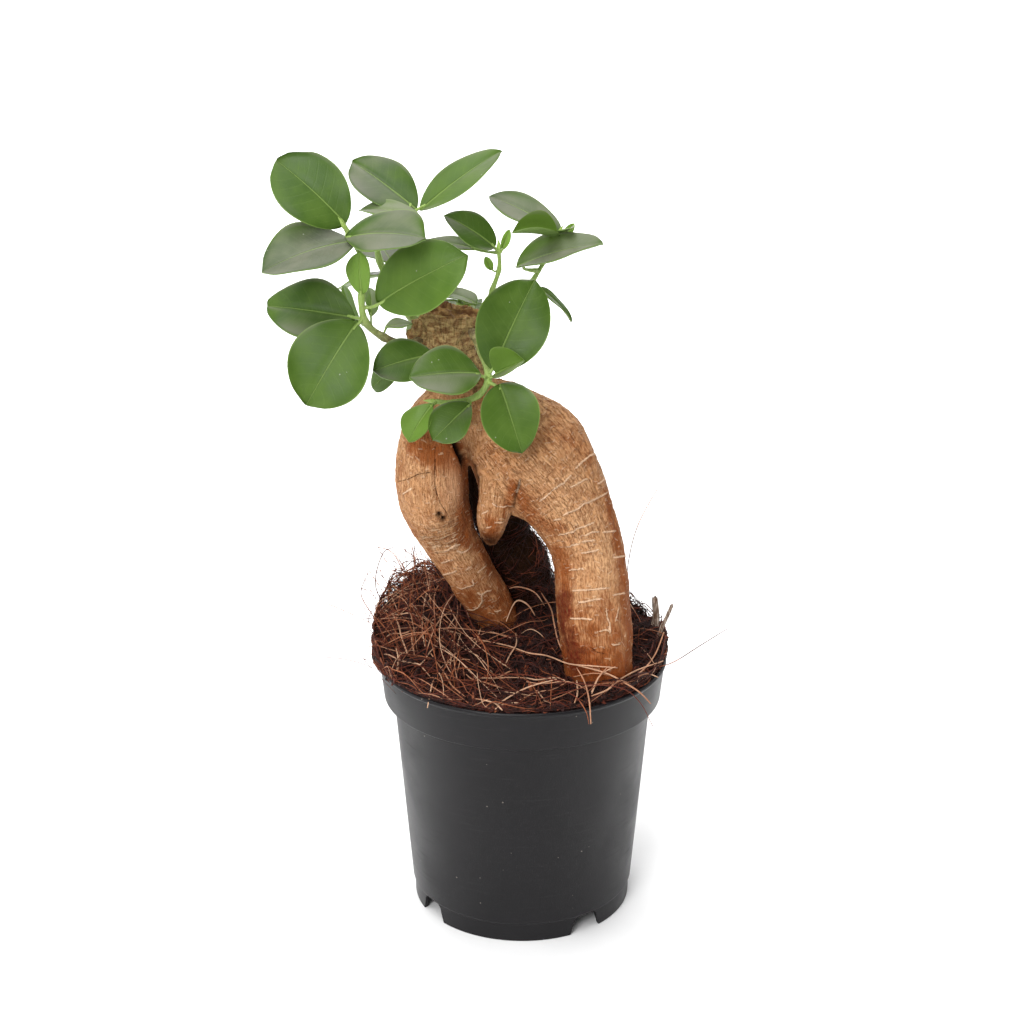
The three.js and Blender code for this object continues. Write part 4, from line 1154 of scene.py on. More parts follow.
def wander(rng, x, y, length, steps, turn, hover, arch=0.0, stray=3.2):
    """A line of places over the coir, from a start, with a length, a wandering turn and a height."""
    heading = math.tau * noise.noise(Vector((x * 0.06, y * 0.06, 9))) + rng.uniform(-stray, stray)
    bend = rng.gauss(0, turn)
    tilt = rng.gauss(0, 0.5) * hover
    line = []
    for i in range(steps + 1):
        share = i / steps
        radius = math.hypot(x, y)
        limit = COIR_REACH + lip_reach(x, y)
        if radius > limit:
            x, y = x * limit / radius, y * limit / radius
        rise = math.sin(math.pi * share)
        lift = hover * rise + arch * rise ** 2 + tilt * (share - 0.5) - 0.5 * (1 - hover)
        over_rim = POT_HEIGHT + 0.2 * (radius > 43)
        line.append(Vector((x, y, max(coir_surface(x, y) + lift, over_rim))))
        bend += rng.gauss(0, turn * 0.6)
        heading += bend
        x += math.cos(heading) * length / steps
        y += math.sin(heading) * length / steps
    return line


def make_strands(name, strands, sides_extra=0):
    """One mesh of tapered tubes from (line, radius, tone) rows in millimetres."""
    curve = bpy.data.curves.new(name, "CURVE")
    curve.dimensions = "3D"
    curve.bevel_depth = MM
    curve.bevel_resolution = sides_extra
    curve.use_fill_caps = True
    for line, radius, _ in strands:
        spline = curve.splines.new("POLY")
        spline.points.add(len(line) - 1)
        for i, (point, place) in enumerate(zip(spline.points, line)):
            point.co = (*(TO_FRAME @ keep_inside(place, radius)), 1)
            point.radius = radius * (0.45 + 0.55 * math.sin(math.pi * (i + 0.5) / len(line)) ** 0.5)
    spun = bpy.data.objects.new(name, curve)
    mesh = bpy.data.meshes.new_from_object(spun)
    bpy.data.objects.remove(spun)
    mesh.name = name
    mesh.materials.clear()
    mesh.materials.append(coir)
    piece = link(name, mesh)
    points_each = [(len(line) + 2) * (4 + 2 * sides_extra) for line, _, _ in strands]
    keep_attribute(piece, "tone", np.repeat([tone for _, _, tone in strands], points_each))
    weld_bm = bmesh.new()
    weld_bm.from_mesh(mesh)
    bmesh.ops.remove_doubles(weld_bm, verts=weld_bm.verts, dist=DOUBLES * MM)
    bmesh.ops.recalc_face_normals(weld_bm, faces=weld_bm.faces)
    weld_bm.to_mesh(mesh)
    weld_bm.free()
    report(piece)
    return piece


# %% Short fibres
SHORT_COUNT = 5200
SHORT_REACH = 46


def front_tone(y):
    """How far the fibres' tone drops towards the front."""
    return 1 - 0.28 * clamp((-y - 8) / 18, 0.0, 1.0)


rng = random.Random(7)
short = []
while len(short) < SHORT_COUNT:
    angle = rng.uniform(0, math.tau)
    x, y = on_circle(SHORT_REACH * math.sqrt(rng.random()), angle)
    length, hover, arch = rng.uniform(3, 10), rng.uniform(0.1, 1.5), rng.uniform(0, 1.0)
    line = wander(rng, x, y, length, steps=4, turn=0.04, hover=hover, arch=arch, stray=1.6)
    fibre_tone = rng.gauss(0.52, 0.12) if rng.random() < 0.12 else rng.gauss(0.2, 0.1)
    if clear_of_wood(*line[2]):
        short.append((line, rng.uniform(0.07, 0.2), clamp(fibre_tone * front_tone(y), 0, 0.85)))
short_fibres = make_strands("coir_short_fibres", short)

# %% [markdown]
# Where the root ball stands above the rim its side shows. Fibres lie flat against it, so each of
# these is walked round the ball instead of over the bed, and bows out a little in its middle.

# %% Fibres on the side of the ball
SIDE_COUNT = 1500
SIDE_STEPS = 6
SIDE_LEAST_WALL = 1.5
rng = random.Random(29)
sides = []
while len(sides) < SIDE_COUNT:
    angle = rng.uniform(0, math.tau)
    top = coir_surface(*on_circle(COIR_REACH, angle))
    if top < POT_HEIGHT + SIDE_LEAST_WALL:
        continue
    z = rng.uniform(POT_HEIGHT, top)
    heading = rng.gauss(0, 0.8)
    bend = rng.gauss(0, 0.12)
    step = rng.uniform(4, 15) / SIDE_STEPS
    bow = rng.uniform(0.2, 1.1)
    line = []
    for i in range(SIDE_STEPS + 1):
        bulge = lip_reach(*on_circle(1, angle)) - 0.2 + bow * math.sin(math.pi * i / SIDE_STEPS)
        line.append(Vector((*on_circle(COIR_REACH + bulge, angle), clamp(z, POT_HEIGHT + 0.3, top))))
        angle += math.cos(heading) * step / COIR_REACH
        z += math.sin(heading) * step
        heading += bend
    sides.append((line, rng.uniform(0.08, 0.18), clamp(rng.gauss(0.3, 0.17), 0, 0.85)))
side_fibres = make_strands("coir_side_fibres", sides)

# %% [markdown]
# Long stiff fibres lie over the short ones and bridge the hollows between clumps, so their heights
# are evened after the walk. A looser tangle of them lies at the left, where the ball stands high.

# %% Long fibres
LONG_COUNT = 250
TANGLE_COUNT = 170
LONG_REACH = 45


def evened(line, lift):
    """The same line with its heights evened, so that a stiff fibre bridges the hollows, and lifted."""
    heights = np.array([place.z for place in line])
    for _ in range(4):
        heights[1:-1] = (heights[:-2] + heights[1:-1] + heights[2:]) / 3
    return [Vector((place.x, place.y, height + lift)) for place, height in zip(line, heights)]


rng = random.Random(19)
long = []
while len(long) < LONG_COUNT + TANGLE_COUNT:
    tangled = len(long) >= LONG_COUNT
    angle = rng.gauss(2.8, 0.55) if tangled else rng.uniform(0, math.tau)
    radius = rng.uniform(18, LONG_REACH) if tangled else LONG_REACH * math.sqrt(rng.random())
    x, y = on_circle(radius, angle)
    hover = rng.uniform(1.5, 4.5) if tangled else rng.uniform(1.0, 2.6)
    length, arch = rng.uniform(14, 44), rng.uniform(0, 2.0)
    line = wander(rng, x, y, length, steps=14, turn=0.022, hover=hover, arch=arch)
    straw = rng.random() < (0.4 if tangled else 0.2)
    fibre_tone = front_tone(y) * (rng.gauss(0.84, 0.1) if straw else rng.gauss(0.38, 0.12))
    if all(clear_of_wood(*place) for place in line[2:-2]):
        long.append((evened(line, 0.5), rng.uniform(0.1, 0.19), clamp(fibre_tone, 0.12, 1.0)))
long_fibres = make_strands("coir_long_fibres", long)

# %% [markdown]
# The pale fibres that catch the eye are listed one by one, each as a few places that it runs through.
# They are lifted just clear of the coir, so that none sinks into it half way.

# %% Fibres that lie on top
TOP_FIBRES = [
    [(-16, -2, 88), (-10, -6, 87.4), (-1, -11, 86.9), (7, -15, 87.5), (14, -26, 89.7), (21, -29.5, 90.6),
     (28, -29, 89.7)],
    [(15, -26.5, 89.7), (24, -29.7, 88.6), (29.5, -31, 86.2), (34.5, -31, 82.8), (38, -31, 79)],
    [(16, -27.5, 89.1), (18, -32, 86.9), (19.2, -40, 84.9), (19.6, -45.8, 79.5)],
    [(25, -29.5, 90.2), (22, -32, 87.6), (20, -37, 85.4)],
    [(43, -12, 84.5), (35, -19, 84.5), (28, -31, 86.5), (25, -36, 86), (20, -39, 85.2)],
    [(44, -1, 89.4), (41, -8, 84.9), (36, -19, 84), (32, -26, 85.3)],
    [(-1, -25, 83.6), (4, -27, 84.2), (10, -25, 84.7), (12.5, -28, 85.2)],
    [(6, 9, 98.5), (9, 7, 94), (10, 4, 90), (11, -5, 88), (13, -22, 89.5)],
    [(-1, -37, 82.1), (3, -32, 82.3), (9, -31, 83.7), (13, -30, 85.5)],
    [(34, -28, 84.6), (35, -23, 84.3), (38, -20, 83.7), (41, -20, 82.6)],
    [(4, -31, 82.4), (6, -36, 82.4), (8, -40, 82.6)],
    [(16, -30, 86.1), (16, -36, 84.6), (15, -40, 83.5)],
    [(-46.5, 8, 90), (-42, 13, 92.3), (-36, 13, 96.7), (-29, 17, 98.2), (-25, 22, 97.6)],
    [(-41, 15, 98.5), (-35, 9, 94.9), (-30, 3, 92.3), (-24, -1, 90.2), (-19, -2, 88.8)],
    [(-43.5, 10, 92.5), (-39, 6, 91.7), (-35, 4, 91.7), (-30, 3, 92.4)],
    [(-42, 9, 91.5), (-39, 3, 90), (-37, -4, 87.3), (-35, -11, 85.6)],
    [(-28, 24, 98.4), (-30, 13, 96.7), (-31, 5, 93.4), (-31, -1, 89.7), (-30, -7, 87.2)],
    [(-20, 6, 93.1), (-23, 0, 90.5), (-26, -6, 87.4), (-29, -11, 84.9), (-31, -16, 83.4)],
    [(-46, -3, 84.8), (-41, -1, 87), (-36, -1, 88.9), (-30, 1, 91.3), (-24, 4, 93.2), (-20, 5, 93)],
    [(-33, -11, 85.6), (-34, -5, 87.2), (-34, -1, 89.3), (-30, 1, 90.9)],
    [(-28, -11, 84.9), (-24, -18, 83.2), (-21, -27, 82.9), (-17, -34, 82.6)],
    [(-29, 2, 92.2), (-25, -7, 86.6), (-22, -11, 84.8), (-22, -17, 83)],
    [(-19, -1, 89.3), (-20, -7, 86.1), (-19, -14, 84.1), (-20, -23, 83.4)],
    [(-21, -2, 89.3), (-21, -7, 86.5), (-21, -10, 85)],
    [(-13, -1, 88.5), (-9, -1, 88.9), (-3, -5, 88.5)],
    [(-14, -22, 83), (-8, -24, 83.5), (-1, -25, 83.6)],
    [(-9, -23, 83.4), (-6, -22, 84), (-3, -20, 84.6)],
    [(-17, -21, 83.5), (-13, -26, 82.9), (-6, -30, 83)],
    [(-14, -37, 82.5), (-9, -40, 82.7), (-6, -44, 83)],
    [(-8, -43, 82.9), (-5, -39, 82.5), (-1, -38, 82.6)],
    [(-43, -7, 84.6), (-37, -13, 84.9), (-32, -15, 84), (-28, -20, 83)],
    [(-25, -16, 83.7), (-20, -13, 84.2), (-16, -13, 84.8)],
    [(-26, -21, 83), (-27, -29, 84), (-28, -37, 80.5)],
    [(-7, -15, 85.7), (-5, -18, 84.6)],
    [(-2, -1, 89.1), (-2, -10, 87.5), (-5, -16, 85.1)],
    [(-39, -6, 85.8), (-38, -12, 85.4), (-38, -18, 84.1)],
    [(-5, 2, 91.7), (-3, 6, 95.5), (-1, 8, 96.5), (2, 8, 94.7), (4, 7, 91.7)],
    [(-4, 8, 100.4), (-1, 7, 101.5), (4, 8, 99.1), (7, 8, 94.6)],
    [(-16, -9, 85.3), (-14, -4, 87.9), (-13, 1, 89.8)],
    [(27.4, -28.7, 90), (22.9, -31, 88.4), (20.1, -37.5, 85.2)],
    [(-7.7, -42.5, 82.5), (-5.7, -38.4, 83.4), (1.2, -32, 84.6), (10.1, -29.7, 86.4)],
]
TOP_HOVER = 2.1
rng = random.Random(5)
top = []
for places in TOP_FIBRES:
    line = smooth_line(places, 6)
    for place in line:
        if math.hypot(place.x, place.y) < COIR_REACH:
            place.z = max(place.z, coir_surface(place.x, place.y) + TOP_HOVER)
    top.append((evened(line, 0), rng.uniform(0.19, 0.27), rng.uniform(0.82, 1.0)))
top_fibres = make_strands("coir_top_fibres", top, sides_extra=1)

# %% [markdown]
# Coir hairs cling round the rear root, which is painted near black as shade, and close most of the
# gap under the arch. Each is walked along that root: a little further round and a little further up
# or down at every step, just off the wood.

# %% Hairs on the rear root
HAIR_COUNT = 420
HAIR_STEPS = 7
HAIR_TOP = 136
TUFTS = [
    # count, foot from and to, reach from and to
    (170, (1, 8, 94), (5, 20, 112), (2.5, -3, -4), (6, 3, 3.5)),
    (90, (-13, 8, 112), (-10, 16, 128), (-3, -3, -3), (-7, 3, 3)),
]


def between(rng, low, high):
    """A place drawn between two corners of a box."""
    return Vector([rng.uniform(a, b) for a, b in zip(low, high)])


rear_points, rear_radii, _ = LIMBS["rear_root"]
rear_frames = square_frames(smooth_line(rear_points, LIMB_STEPS))
rear_sizes = both_radii(rear_radii, LIMB_STEPS)
rng = random.Random(67)
hairs = []
while len(hairs) < HAIR_COUNT:
    at = rng.uniform(8, 28)
    angle = rng.uniform(0, math.tau)
    climb = rng.gauss(0, 0.5)
    swing = rng.gauss(0, 0.16)
    hover = abs(rng.gauss(0.4, 1.1))
    line = []
    for step in range(HAIR_STEPS + 1):
        k = int(clamp(at, 0, len(rear_frames) - 1))
        centre, across, deep, along_root = rear_frames[k]
        wide, thick = rear_sizes[k]
        off = 0.2 + hover * math.sin(math.pi * step / HAIR_STEPS)
        side = across * math.cos(angle) * (wide + off) + deep * math.sin(angle) * (thick + off)
        line.append(centre + side + along_root * (at - k) * 2)
        at += climb
        angle += swing
        swing += rng.gauss(0, 0.05)
    if max(place.z for place in line) < HAIR_TOP:
        hairs.append((line, rng.uniform(0.07, 0.13), clamp(rng.gauss(0.25, 0.16), 0, 0.8)))
for count, *corners in TUFTS:
    for _ in range(count):
        foot, reach = between(rng, *corners[:2]), between(rng, *corners[2:])
        sag = Vector((rng.gauss(0, 1), rng.gauss(0, 1), rng.gauss(0, 1.6)))
        line = smooth_line([foot, foot + reach * 0.5 + sag, foot + reach], 4)
        hairs.append((line, rng.uniform(0.07, 0.13), clamp(rng.gauss(0.2, 0.13), 0, 0.6)))
root_hairs = make_strands("coir_root_hairs", hairs)

# %% [markdown]
# Some fibres were drawn out when the plant was pulled from its plug, and stand or hang clear of the
# ball. Their lines are listed where they show against the sky, and finer wisps stand round them.

# %% Fibres that stand clear
STANDING_FIBRES = [
    [(33, 2, 84), (32.5, 2, 97), (32.5, 2, 110), (35.5, 2, 124), (43, 2, 139)],
    [(40, -12, 82), (46, -14, 85), (54, -15, 91), (62, -16, 97)],
    [(-17, -25, 81), (-13, -28, 86), (-1, -32, 89), (14, -37, 88.5), (28, -37, 87), (34, -38, 83),
     (38, -40, 76)],
    [(-40, -8, 86), (-46, -4, 96), (-50, 2, 101), (-48, 8, 106)],
    [(-40, 6, 90), (-46, 10, 100), (-44, 12, 110), (-40, 12, 113)],
    [(-32, 20, 92), (-38, 24, 100), (-42, 26, 106), (-48, 26, 108)],
    [(9, -31, 79), (11, -36, 85), (15, -42, 86.5), (18, -46.5, 84), (19, -47, 80)],
]
STANDING_RADIUS = 0.15
STANDING_TONE = 0.74
WISP_COUNT = 170
rng = random.Random(41)
standing = [(smooth_line(line, 6), STANDING_RADIUS, STANDING_TONE) for line in STANDING_FIBRES]
for _ in range(WISP_COUNT):
    angle = rng.gauss(2.75, 0.5)
    x, y = on_circle(rng.uniform(28, 45), angle)
    foot = Vector((x, y, coir_surface(x, y) - 1))
    lean = Vector((rng.gauss(-2, 4), rng.gauss(-1, 3), rng.uniform(3, 9)))
    curl = Vector((rng.gauss(0, 1.1), rng.gauss(0, 1.1), rng.uniform(-2, 2)))
    line = smooth_line([foot, foot + lean, foot + lean * 1.6 + curl, foot + lean * 1.7 + curl * 2.2], 4)
    standing.append((line, rng.uniform(0.06, 0.11), rng.uniform(0.35, 0.8)))
standing_fibres = make_strands("coir_standing_fibres", standing, sides_extra=1)

# %% [markdown]
# Husk crumbs and flat chips lie between the fibres. Each is a ball of a few dozen faces that is
# stretched, turned and dented at random. They share one mesh, because thousands of objects would be
# slow.

# %% Husk crumbs and chips
CRUMB_COUNT = 2600
CHIP_COUNT = 420
CRUMB_REACH = 45.5
CRUMB_DENT = 0.3
rng = random.Random(53)
crumb_bm = bmesh.new()
tone_layer = crumb_bm.verts.layers.float.new("tone")
for number in range(CRUMB_COUNT + CHIP_COUNT):
    chip = number >= CRUMB_COUNT
    angle = rng.uniform(0, math.tau)
    radius = CRUMB_REACH * math.sqrt(rng.random())
    x, y = on_circle(radius, angle)
    reach = COIR_REACH + lip_reach(x, y) - 0.5
    if radius > reach:
        x, y = x * reach / radius, y * reach / radius
    z = max(coir_surface(x, y), POT_HEIGHT) + rng.uniform(-1.0, 0.4)
    if not clear_of_wood(x, y, z):
        continue
    size = rng.uniform(0.4, 0.8) if chip else rng.uniform(0.3, 0.9)
    long_share = rng.uniform(2.5, 5.0) if chip else rng.uniform(1.0, 2.2)
    placed = Matrix.Translation((x, y, z))
    for turned_by, way_round in ((rng.uniform(0, math.tau), "Z"), (rng.gauss(0, 0.5), "Y"),
                                 (rng.uniform(-1, 1), "X")):
        placed = placed @ Matrix.Rotation(turned_by, 4, way_round)
    placed = placed @ Matrix.Diagonal((size * long_share, size, size * (0.3 if chip else 0.6), 1))
    made = bmesh.ops.create_icosphere(crumb_bm, subdivisions=1, radius=1, matrix=placed)["verts"]
    crumb_tone = clamp(rng.gauss(0.42 if chip else 0.22, 0.13), 0, 0.66)
    for vert in made:
        dent = Vector((rng.uniform(-1, 1), rng.uniform(-1, 1), rng.uniform(-1, 1)))
        vert.co = keep_inside(vert.co + dent * size * CRUMB_DENT, 0)
        vert[tone_layer] = crumb_tone
crumbs = to_object("coir_husk_crumbs", crumb_bm, coir, smooth=False)
report(crumbs)

# %% [markdown]
# Two broken twigs stand at the right edge of the ball, dry, split and grey. They are lofted like
# the roots, with a section that isn't round and a torn end.

# %% Broken twigs
TWIGS = [([(41, 6, 82), (42, 6, 90), (41.5, 6, 98)], [1.2, 1.2, 0.85]),
         ([(41, 0, 82), (43.5, 1, 90), (46.5, 2, 97)], [0.75, 0.65, 0.5])]
TWIG_SIDES = 10
TWIG_STEPS = 6
dry_twig, tree, shader, place = new_material("dry_twig", roughness=0.8, specular=0.2)
fuzz = use_effect(tree, streaky, stretch(tree, place, 1800, 1800, 300), Scale=1, Low=0.4, High=0.62)
feed(tree, tint(tree, fuzz, (0.13, 0.075, 0.045), (0.46, 0.37, 0.30)), shader, "Base Color")
raise_surface(tree, shader, fuzz, 0.0003)


def twig_splits(angle, share):
    """The splits of a dry twig, which twist along it."""
    return 0.16 * math.sin(3 * angle + 9 * share) + 0.1 * math.sin(7 * angle)


twig_bm = bmesh.new()
for points, radii in TWIGS:
    line = smooth_line(points, TWIG_STEPS)
    rings = loft(twig_bm, line, both_radii(radii, TWIG_STEPS), TWIG_SIDES, twig_splits)
    for vert in rings[-1]:
        vert.co.z += 0.9 * math.sin(vert.co.x * 5 + vert.co.y * 3)
twigs = to_object("broken_twigs", twig_bm, dry_twig)
report(twigs)

# %% [markdown]
# A banyan leaf is a leathery oval with a short blunt tip. It bows along its length, its halves rise
# a little from the midrib, and the edge is faintly waved. The blade starts as a flat grid. Each
# point moves to its place on the leaf, keeping how far along and across it is, and then the sheet
# is extruded to its thickness. The midrib, veins, pale margin and lighter underside are painted
# from those values.

# %% One leaf blade
BLADE_THICKNESS = 0.36
LEAF_ARCH = 0.06
LEAF_CUP = 0.05
LEAF_FULLNESS = 0.57
LEAF_TIP_PINCH = 0.35
LEAST_HALF = 0.12
BLADE_STEPS = 28
BLADE_STRIPS = 14
UPPER_SIDE, UNDERSIDE = 0, 1


def add_blade(bm, layers, leaf, seed):
    """Adds one blade from a row of the list of leaves."""
    base, tip, width, face, widest, youth, *given = leaf
    cup, fullness = given + [LEAF_CUP, LEAF_FULLNESS][len(given):]
    base, tip = Vector(base), Vector(tip)
    length = (tip - base).length
    forward = (tip - base).normalized()
    up = Vector(face)
    up = (up - forward * up.dot(forward)).normalized()
    side = forward.cross(up)
    bulge = math.log(0.5) / math.log(widest)
    sheet = bmesh.ops.create_grid(bm, x_segments=BLADE_STEPS, y_segments=BLADE_STRIPS, size=1)["verts"]
    for vert in sheet:
        share = (1 - math.cos(math.pi * (vert.co.x + 1) / 2)) / 2
        across = vert.co.y
        half = width / 2 * max(0.0, math.sin(math.pi * share ** bulge)) ** fullness
        half = max(half * (1 - LEAF_TIP_PINCH * math.exp(-((1 - share) / 0.045) ** 2)), LEAST_HALF)
        wave = 0.05 * width * math.sin(7 * share + seed + across) * abs(across) ** 3
        fold = 0.04 * half * abs(across) - 0.25 * math.exp(-(across * half / 0.6) ** 2)
        lift = 4 * LEAF_ARCH * length * share * (1 - share) + 2 * cup * half * across ** 2
        sway = 0.012 * length * math.sin(math.pi * share + seed * 2)
        place = base + forward * share * length + side * (across * half + sway)
        vert.co = keep_inside(place + up * (lift + wave + fold), BLADE_THICKNESS)
        vert[layers["way"]] = (share, across, UPPER_SIDE)
        vert[layers["look"]] = (youth, (seed * 0.618) % 1, half)
    faces = list(dict.fromkeys(face for vert in sheet for face in vert.link_faces))
    lower = bmesh.ops.extrude_face_region(bm, geom=faces, use_keep_orig=True)["geom"]
    for item in lower:
        if isinstance(item, bmesh.types.BMVert):
            item.co -= up * BLADE_THICKNESS
            item[layers["way"]] = (*item[layers["way"]][:2], UNDERSIDE)


print("faces in one blade:", 2 * BLADE_STEPS * BLADE_STRIPS)

# %% [markdown]
# The stems are green and soft at the tips, and woody and grey-green where they leave the stump,
# with swollen nodes where leaves join. Each leaf hangs on a thin stalk that sags a little. A
# pointed bud closes each stem.

# %% Stems, stalks and buds
STEM_RADIUS = 1.3
STEM_SIDES = 12
STALK_RADIUS = 0.65
STALK_SIDES = 8
SPAN_STEPS = 5
BUD_PROFILE = [(0, 0.9), (0.15, 1.15), (0.35, 1.2), (0.6, 0.8), (0.85, 0.35), (1, 0.05)]


def loft_green(bm, layers, line, radii, sides, woody_at, fresh=0.5):
    """Lofts a round green part and keeps with its points how woody and how fresh they are."""
    rings = loft(bm, line, [(radius, radius) for radius in radii], sides)
    for i, ring in enumerate(rings):
        for vert in ring:
            vert[layers["look"]] = (woody_at(i / (len(line) - 1)), fresh, 0)


def add_stem(bm, layers, points, woody, thick):
    """Lofts a stem with a swelling at each of its points, and returns its line."""
    line = smooth_line(points, SPAN_STEPS)
    last = len(line) - 1
    radii = []
    for i in range(len(line)):
        swelling = 0.16 * math.cos(math.tau * i / SPAN_STEPS) ** 3 if 0 < i < last else 0
        radii.append(thick * (1 - 0.4 * i / last) * (1 + swelling))
    loft_green(bm, layers, line, radii, STEM_SIDES, lambda share: max(0, woody - 1.6 * share))
    return line


def add_stalk(bm, layers, stem_line, leaf, woody):
    """Lofts the stalk from the nearest place on the stem into the blade."""
    base, tip = Vector(leaf[0]), Vector(leaf[1])
    near = min(stem_line, key=lambda point: (point - base).length)
    middle = near.lerp(base, 0.6) + Vector((0, 0, -0.4))
    line = smooth_line([near, middle, base.lerp(tip, 0.08)], SPAN_STEPS)
    last = len(line) - 1
    thick = STALK_RADIUS * min(1, 0.45 + leaf[2] / 22)
    radii = [thick * (1.35 - 0.6 * min(1, 2.5 * i / last)) for i in range(last + 1)]
    loft_green(bm, layers, line, radii, STALK_SIDES, lambda share: 0.3 * woody * (1 - share))


def add_bud(bm, layers, foot, direction, length):
    """A slim pointed bud, closed like a rolled leaf."""
    line = [foot + direction.normalized() * length * share for share, _ in BUD_PROFILE]
    radii = [0.16 * length * radius for _, radius in BUD_PROFILE]
    loft_green(bm, layers, line, radii, STALK_SIDES, lambda share: 0, fresh=0.9)


# %% [markdown]
# Banyan leaves are dark green and waxy, with a paler midrib, faint side veins, a thin pale margin
# and a lighter underside. Each point of a blade knows how far along and across it lies, so the
# veins are drawn from these two values and follow every bend of the leaf. Parts that face up are
# painted greyer in soft patches, as a painted sheen where the bright light above would be mirrored.

# %% Leaf material
RIB_GREEN = (0.24, 0.35, 0.085)
leaf_skin, tree, shader, place = new_material("banyan_leaf", roughness=0.46, specular=0.2)
share, across, under = stored_three(tree, "leaf_way")
youth, own, half = stored_three(tree, "leaf_look")
sideways = calc(tree, "ABSOLUTE", across)
rib_width = ease(tree, share, 0.0, 1.0, 0.36, 0.10)
midrib = ease(tree, calc(tree, "DIVIDE", times(tree, sideways, half), rib_width), 0.55, 1.15, 1.0, 0.0)
vein_phase = pile(tree, (share, 9.0), (calc(tree, "POWER", sideways, 1.3), -1.9), (own, 3.0))
vein_gap = calc(tree, "ABSOLUTE", calc(tree, "SUBTRACT", calc(tree, "FRACT", vein_phase), 0.5))
side_veins = times(tree, ease(tree, vein_gap, 0.02, 0.10, 1.0, 0.0),
                   ease(tree, sideways, 0.6, 0.95, 1.0, 0.0))
patchy = use_effect(tree, cloudy, place, Scale=130, Low=0.32, High=0.7)
specks = use_effect(tree, dusty, place, Scale=500, Size=0.09, Cover=0.06)
# Painted sheen: parts that face up are tinted grey in soft patches, where the bright light above would
# be mirrored.
bloom_and_sheen = times(tree, stored(tree, "leaf_painted_sheen", "Fac"), ease(tree, patchy, 0.0, 1.0, 0.36, 0.52))
old_green = paint(tree, tint(tree, own, (0.026, 0.064, 0.005), (0.052, 0.100, 0.009)),
                  (patchy, 0.4, (0.090, 0.155, 0.018)))
green = paint(
    tree, tint(tree, youth, old_green, (0.17, 0.30, 0.040)),
    (side_veins, 0.045, (0.20, 0.30, 0.08)),
    (bloom_and_sheen, 1, (0.23, 0.20, 0.19)),
    (midrib, 0.42, RIB_GREEN),
    (ease(tree, sideways, 0.95, 0.99), 0.36, RIB_GREEN),
    (ease(tree, under, 0.4, 0.6), 0.55, (0.22, 0.32, 0.11)),
    (specks, 0.5, (0.5, 0.5, 0.42)),
)
feed(tree, green, shader, "Base Color")
feed(tree, ease(tree, patchy, 0.0, 1.0, 0.42, 0.55), shader, "Roughness")
pores = fine_noise(tree, place, 2400.0)
raise_surface(tree, shader, pile(tree, (midrib, -0.8), (side_veins, -0.06), (pores, 0.12)), 0.00028)
shader.inputs["Coat Weight"].default_value = 0.03
shader.inputs["Coat Roughness"].default_value = 0.25

# %% Stem material
stem_skin, tree, shader, place = new_material("banyan_stem", roughness=0.45, specular=0.4)
woody, fresh, _ = stored_three(tree, "leaf_look")
fleck = use_effect(tree, cloudy, place, Scale=900, Low=0.45, High=0.7)
streaks = use_effect(tree, streaky, stretch(tree, place, 1500, 1500, 250), Scale=1, Low=0.4, High=0.65)
green = paint(tree, tint(tree, fresh, (0.20, 0.31, 0.075), (0.30, 0.44, 0.08)),
              (streaks, 0.4, (0.36, 0.46, 0.17)))
wood = tint(tree, fleck, (0.12, 0.082, 0.038), (0.30, 0.25, 0.12))
feed(tree, tint(tree, ease(tree, woody, 0.05, 0.75), green, wood), shader, "Base Color")
raise_surface(tree, shader, calc(tree, "ADD", fleck, streaks), 0.00012)
print("materials:", [material.name for material in bpy.data.materials])

# %% [markdown]
# Each shoot is listed as its stem, how woody the stem is at its foot, and its leaves. A leaf is
# written as base, tip, width, the way its upper side faces, where along it is widest, how young it
# is and, where it isn't like the others, how cupped and how full it is. Young leaves are small and
# bright yellow-green.

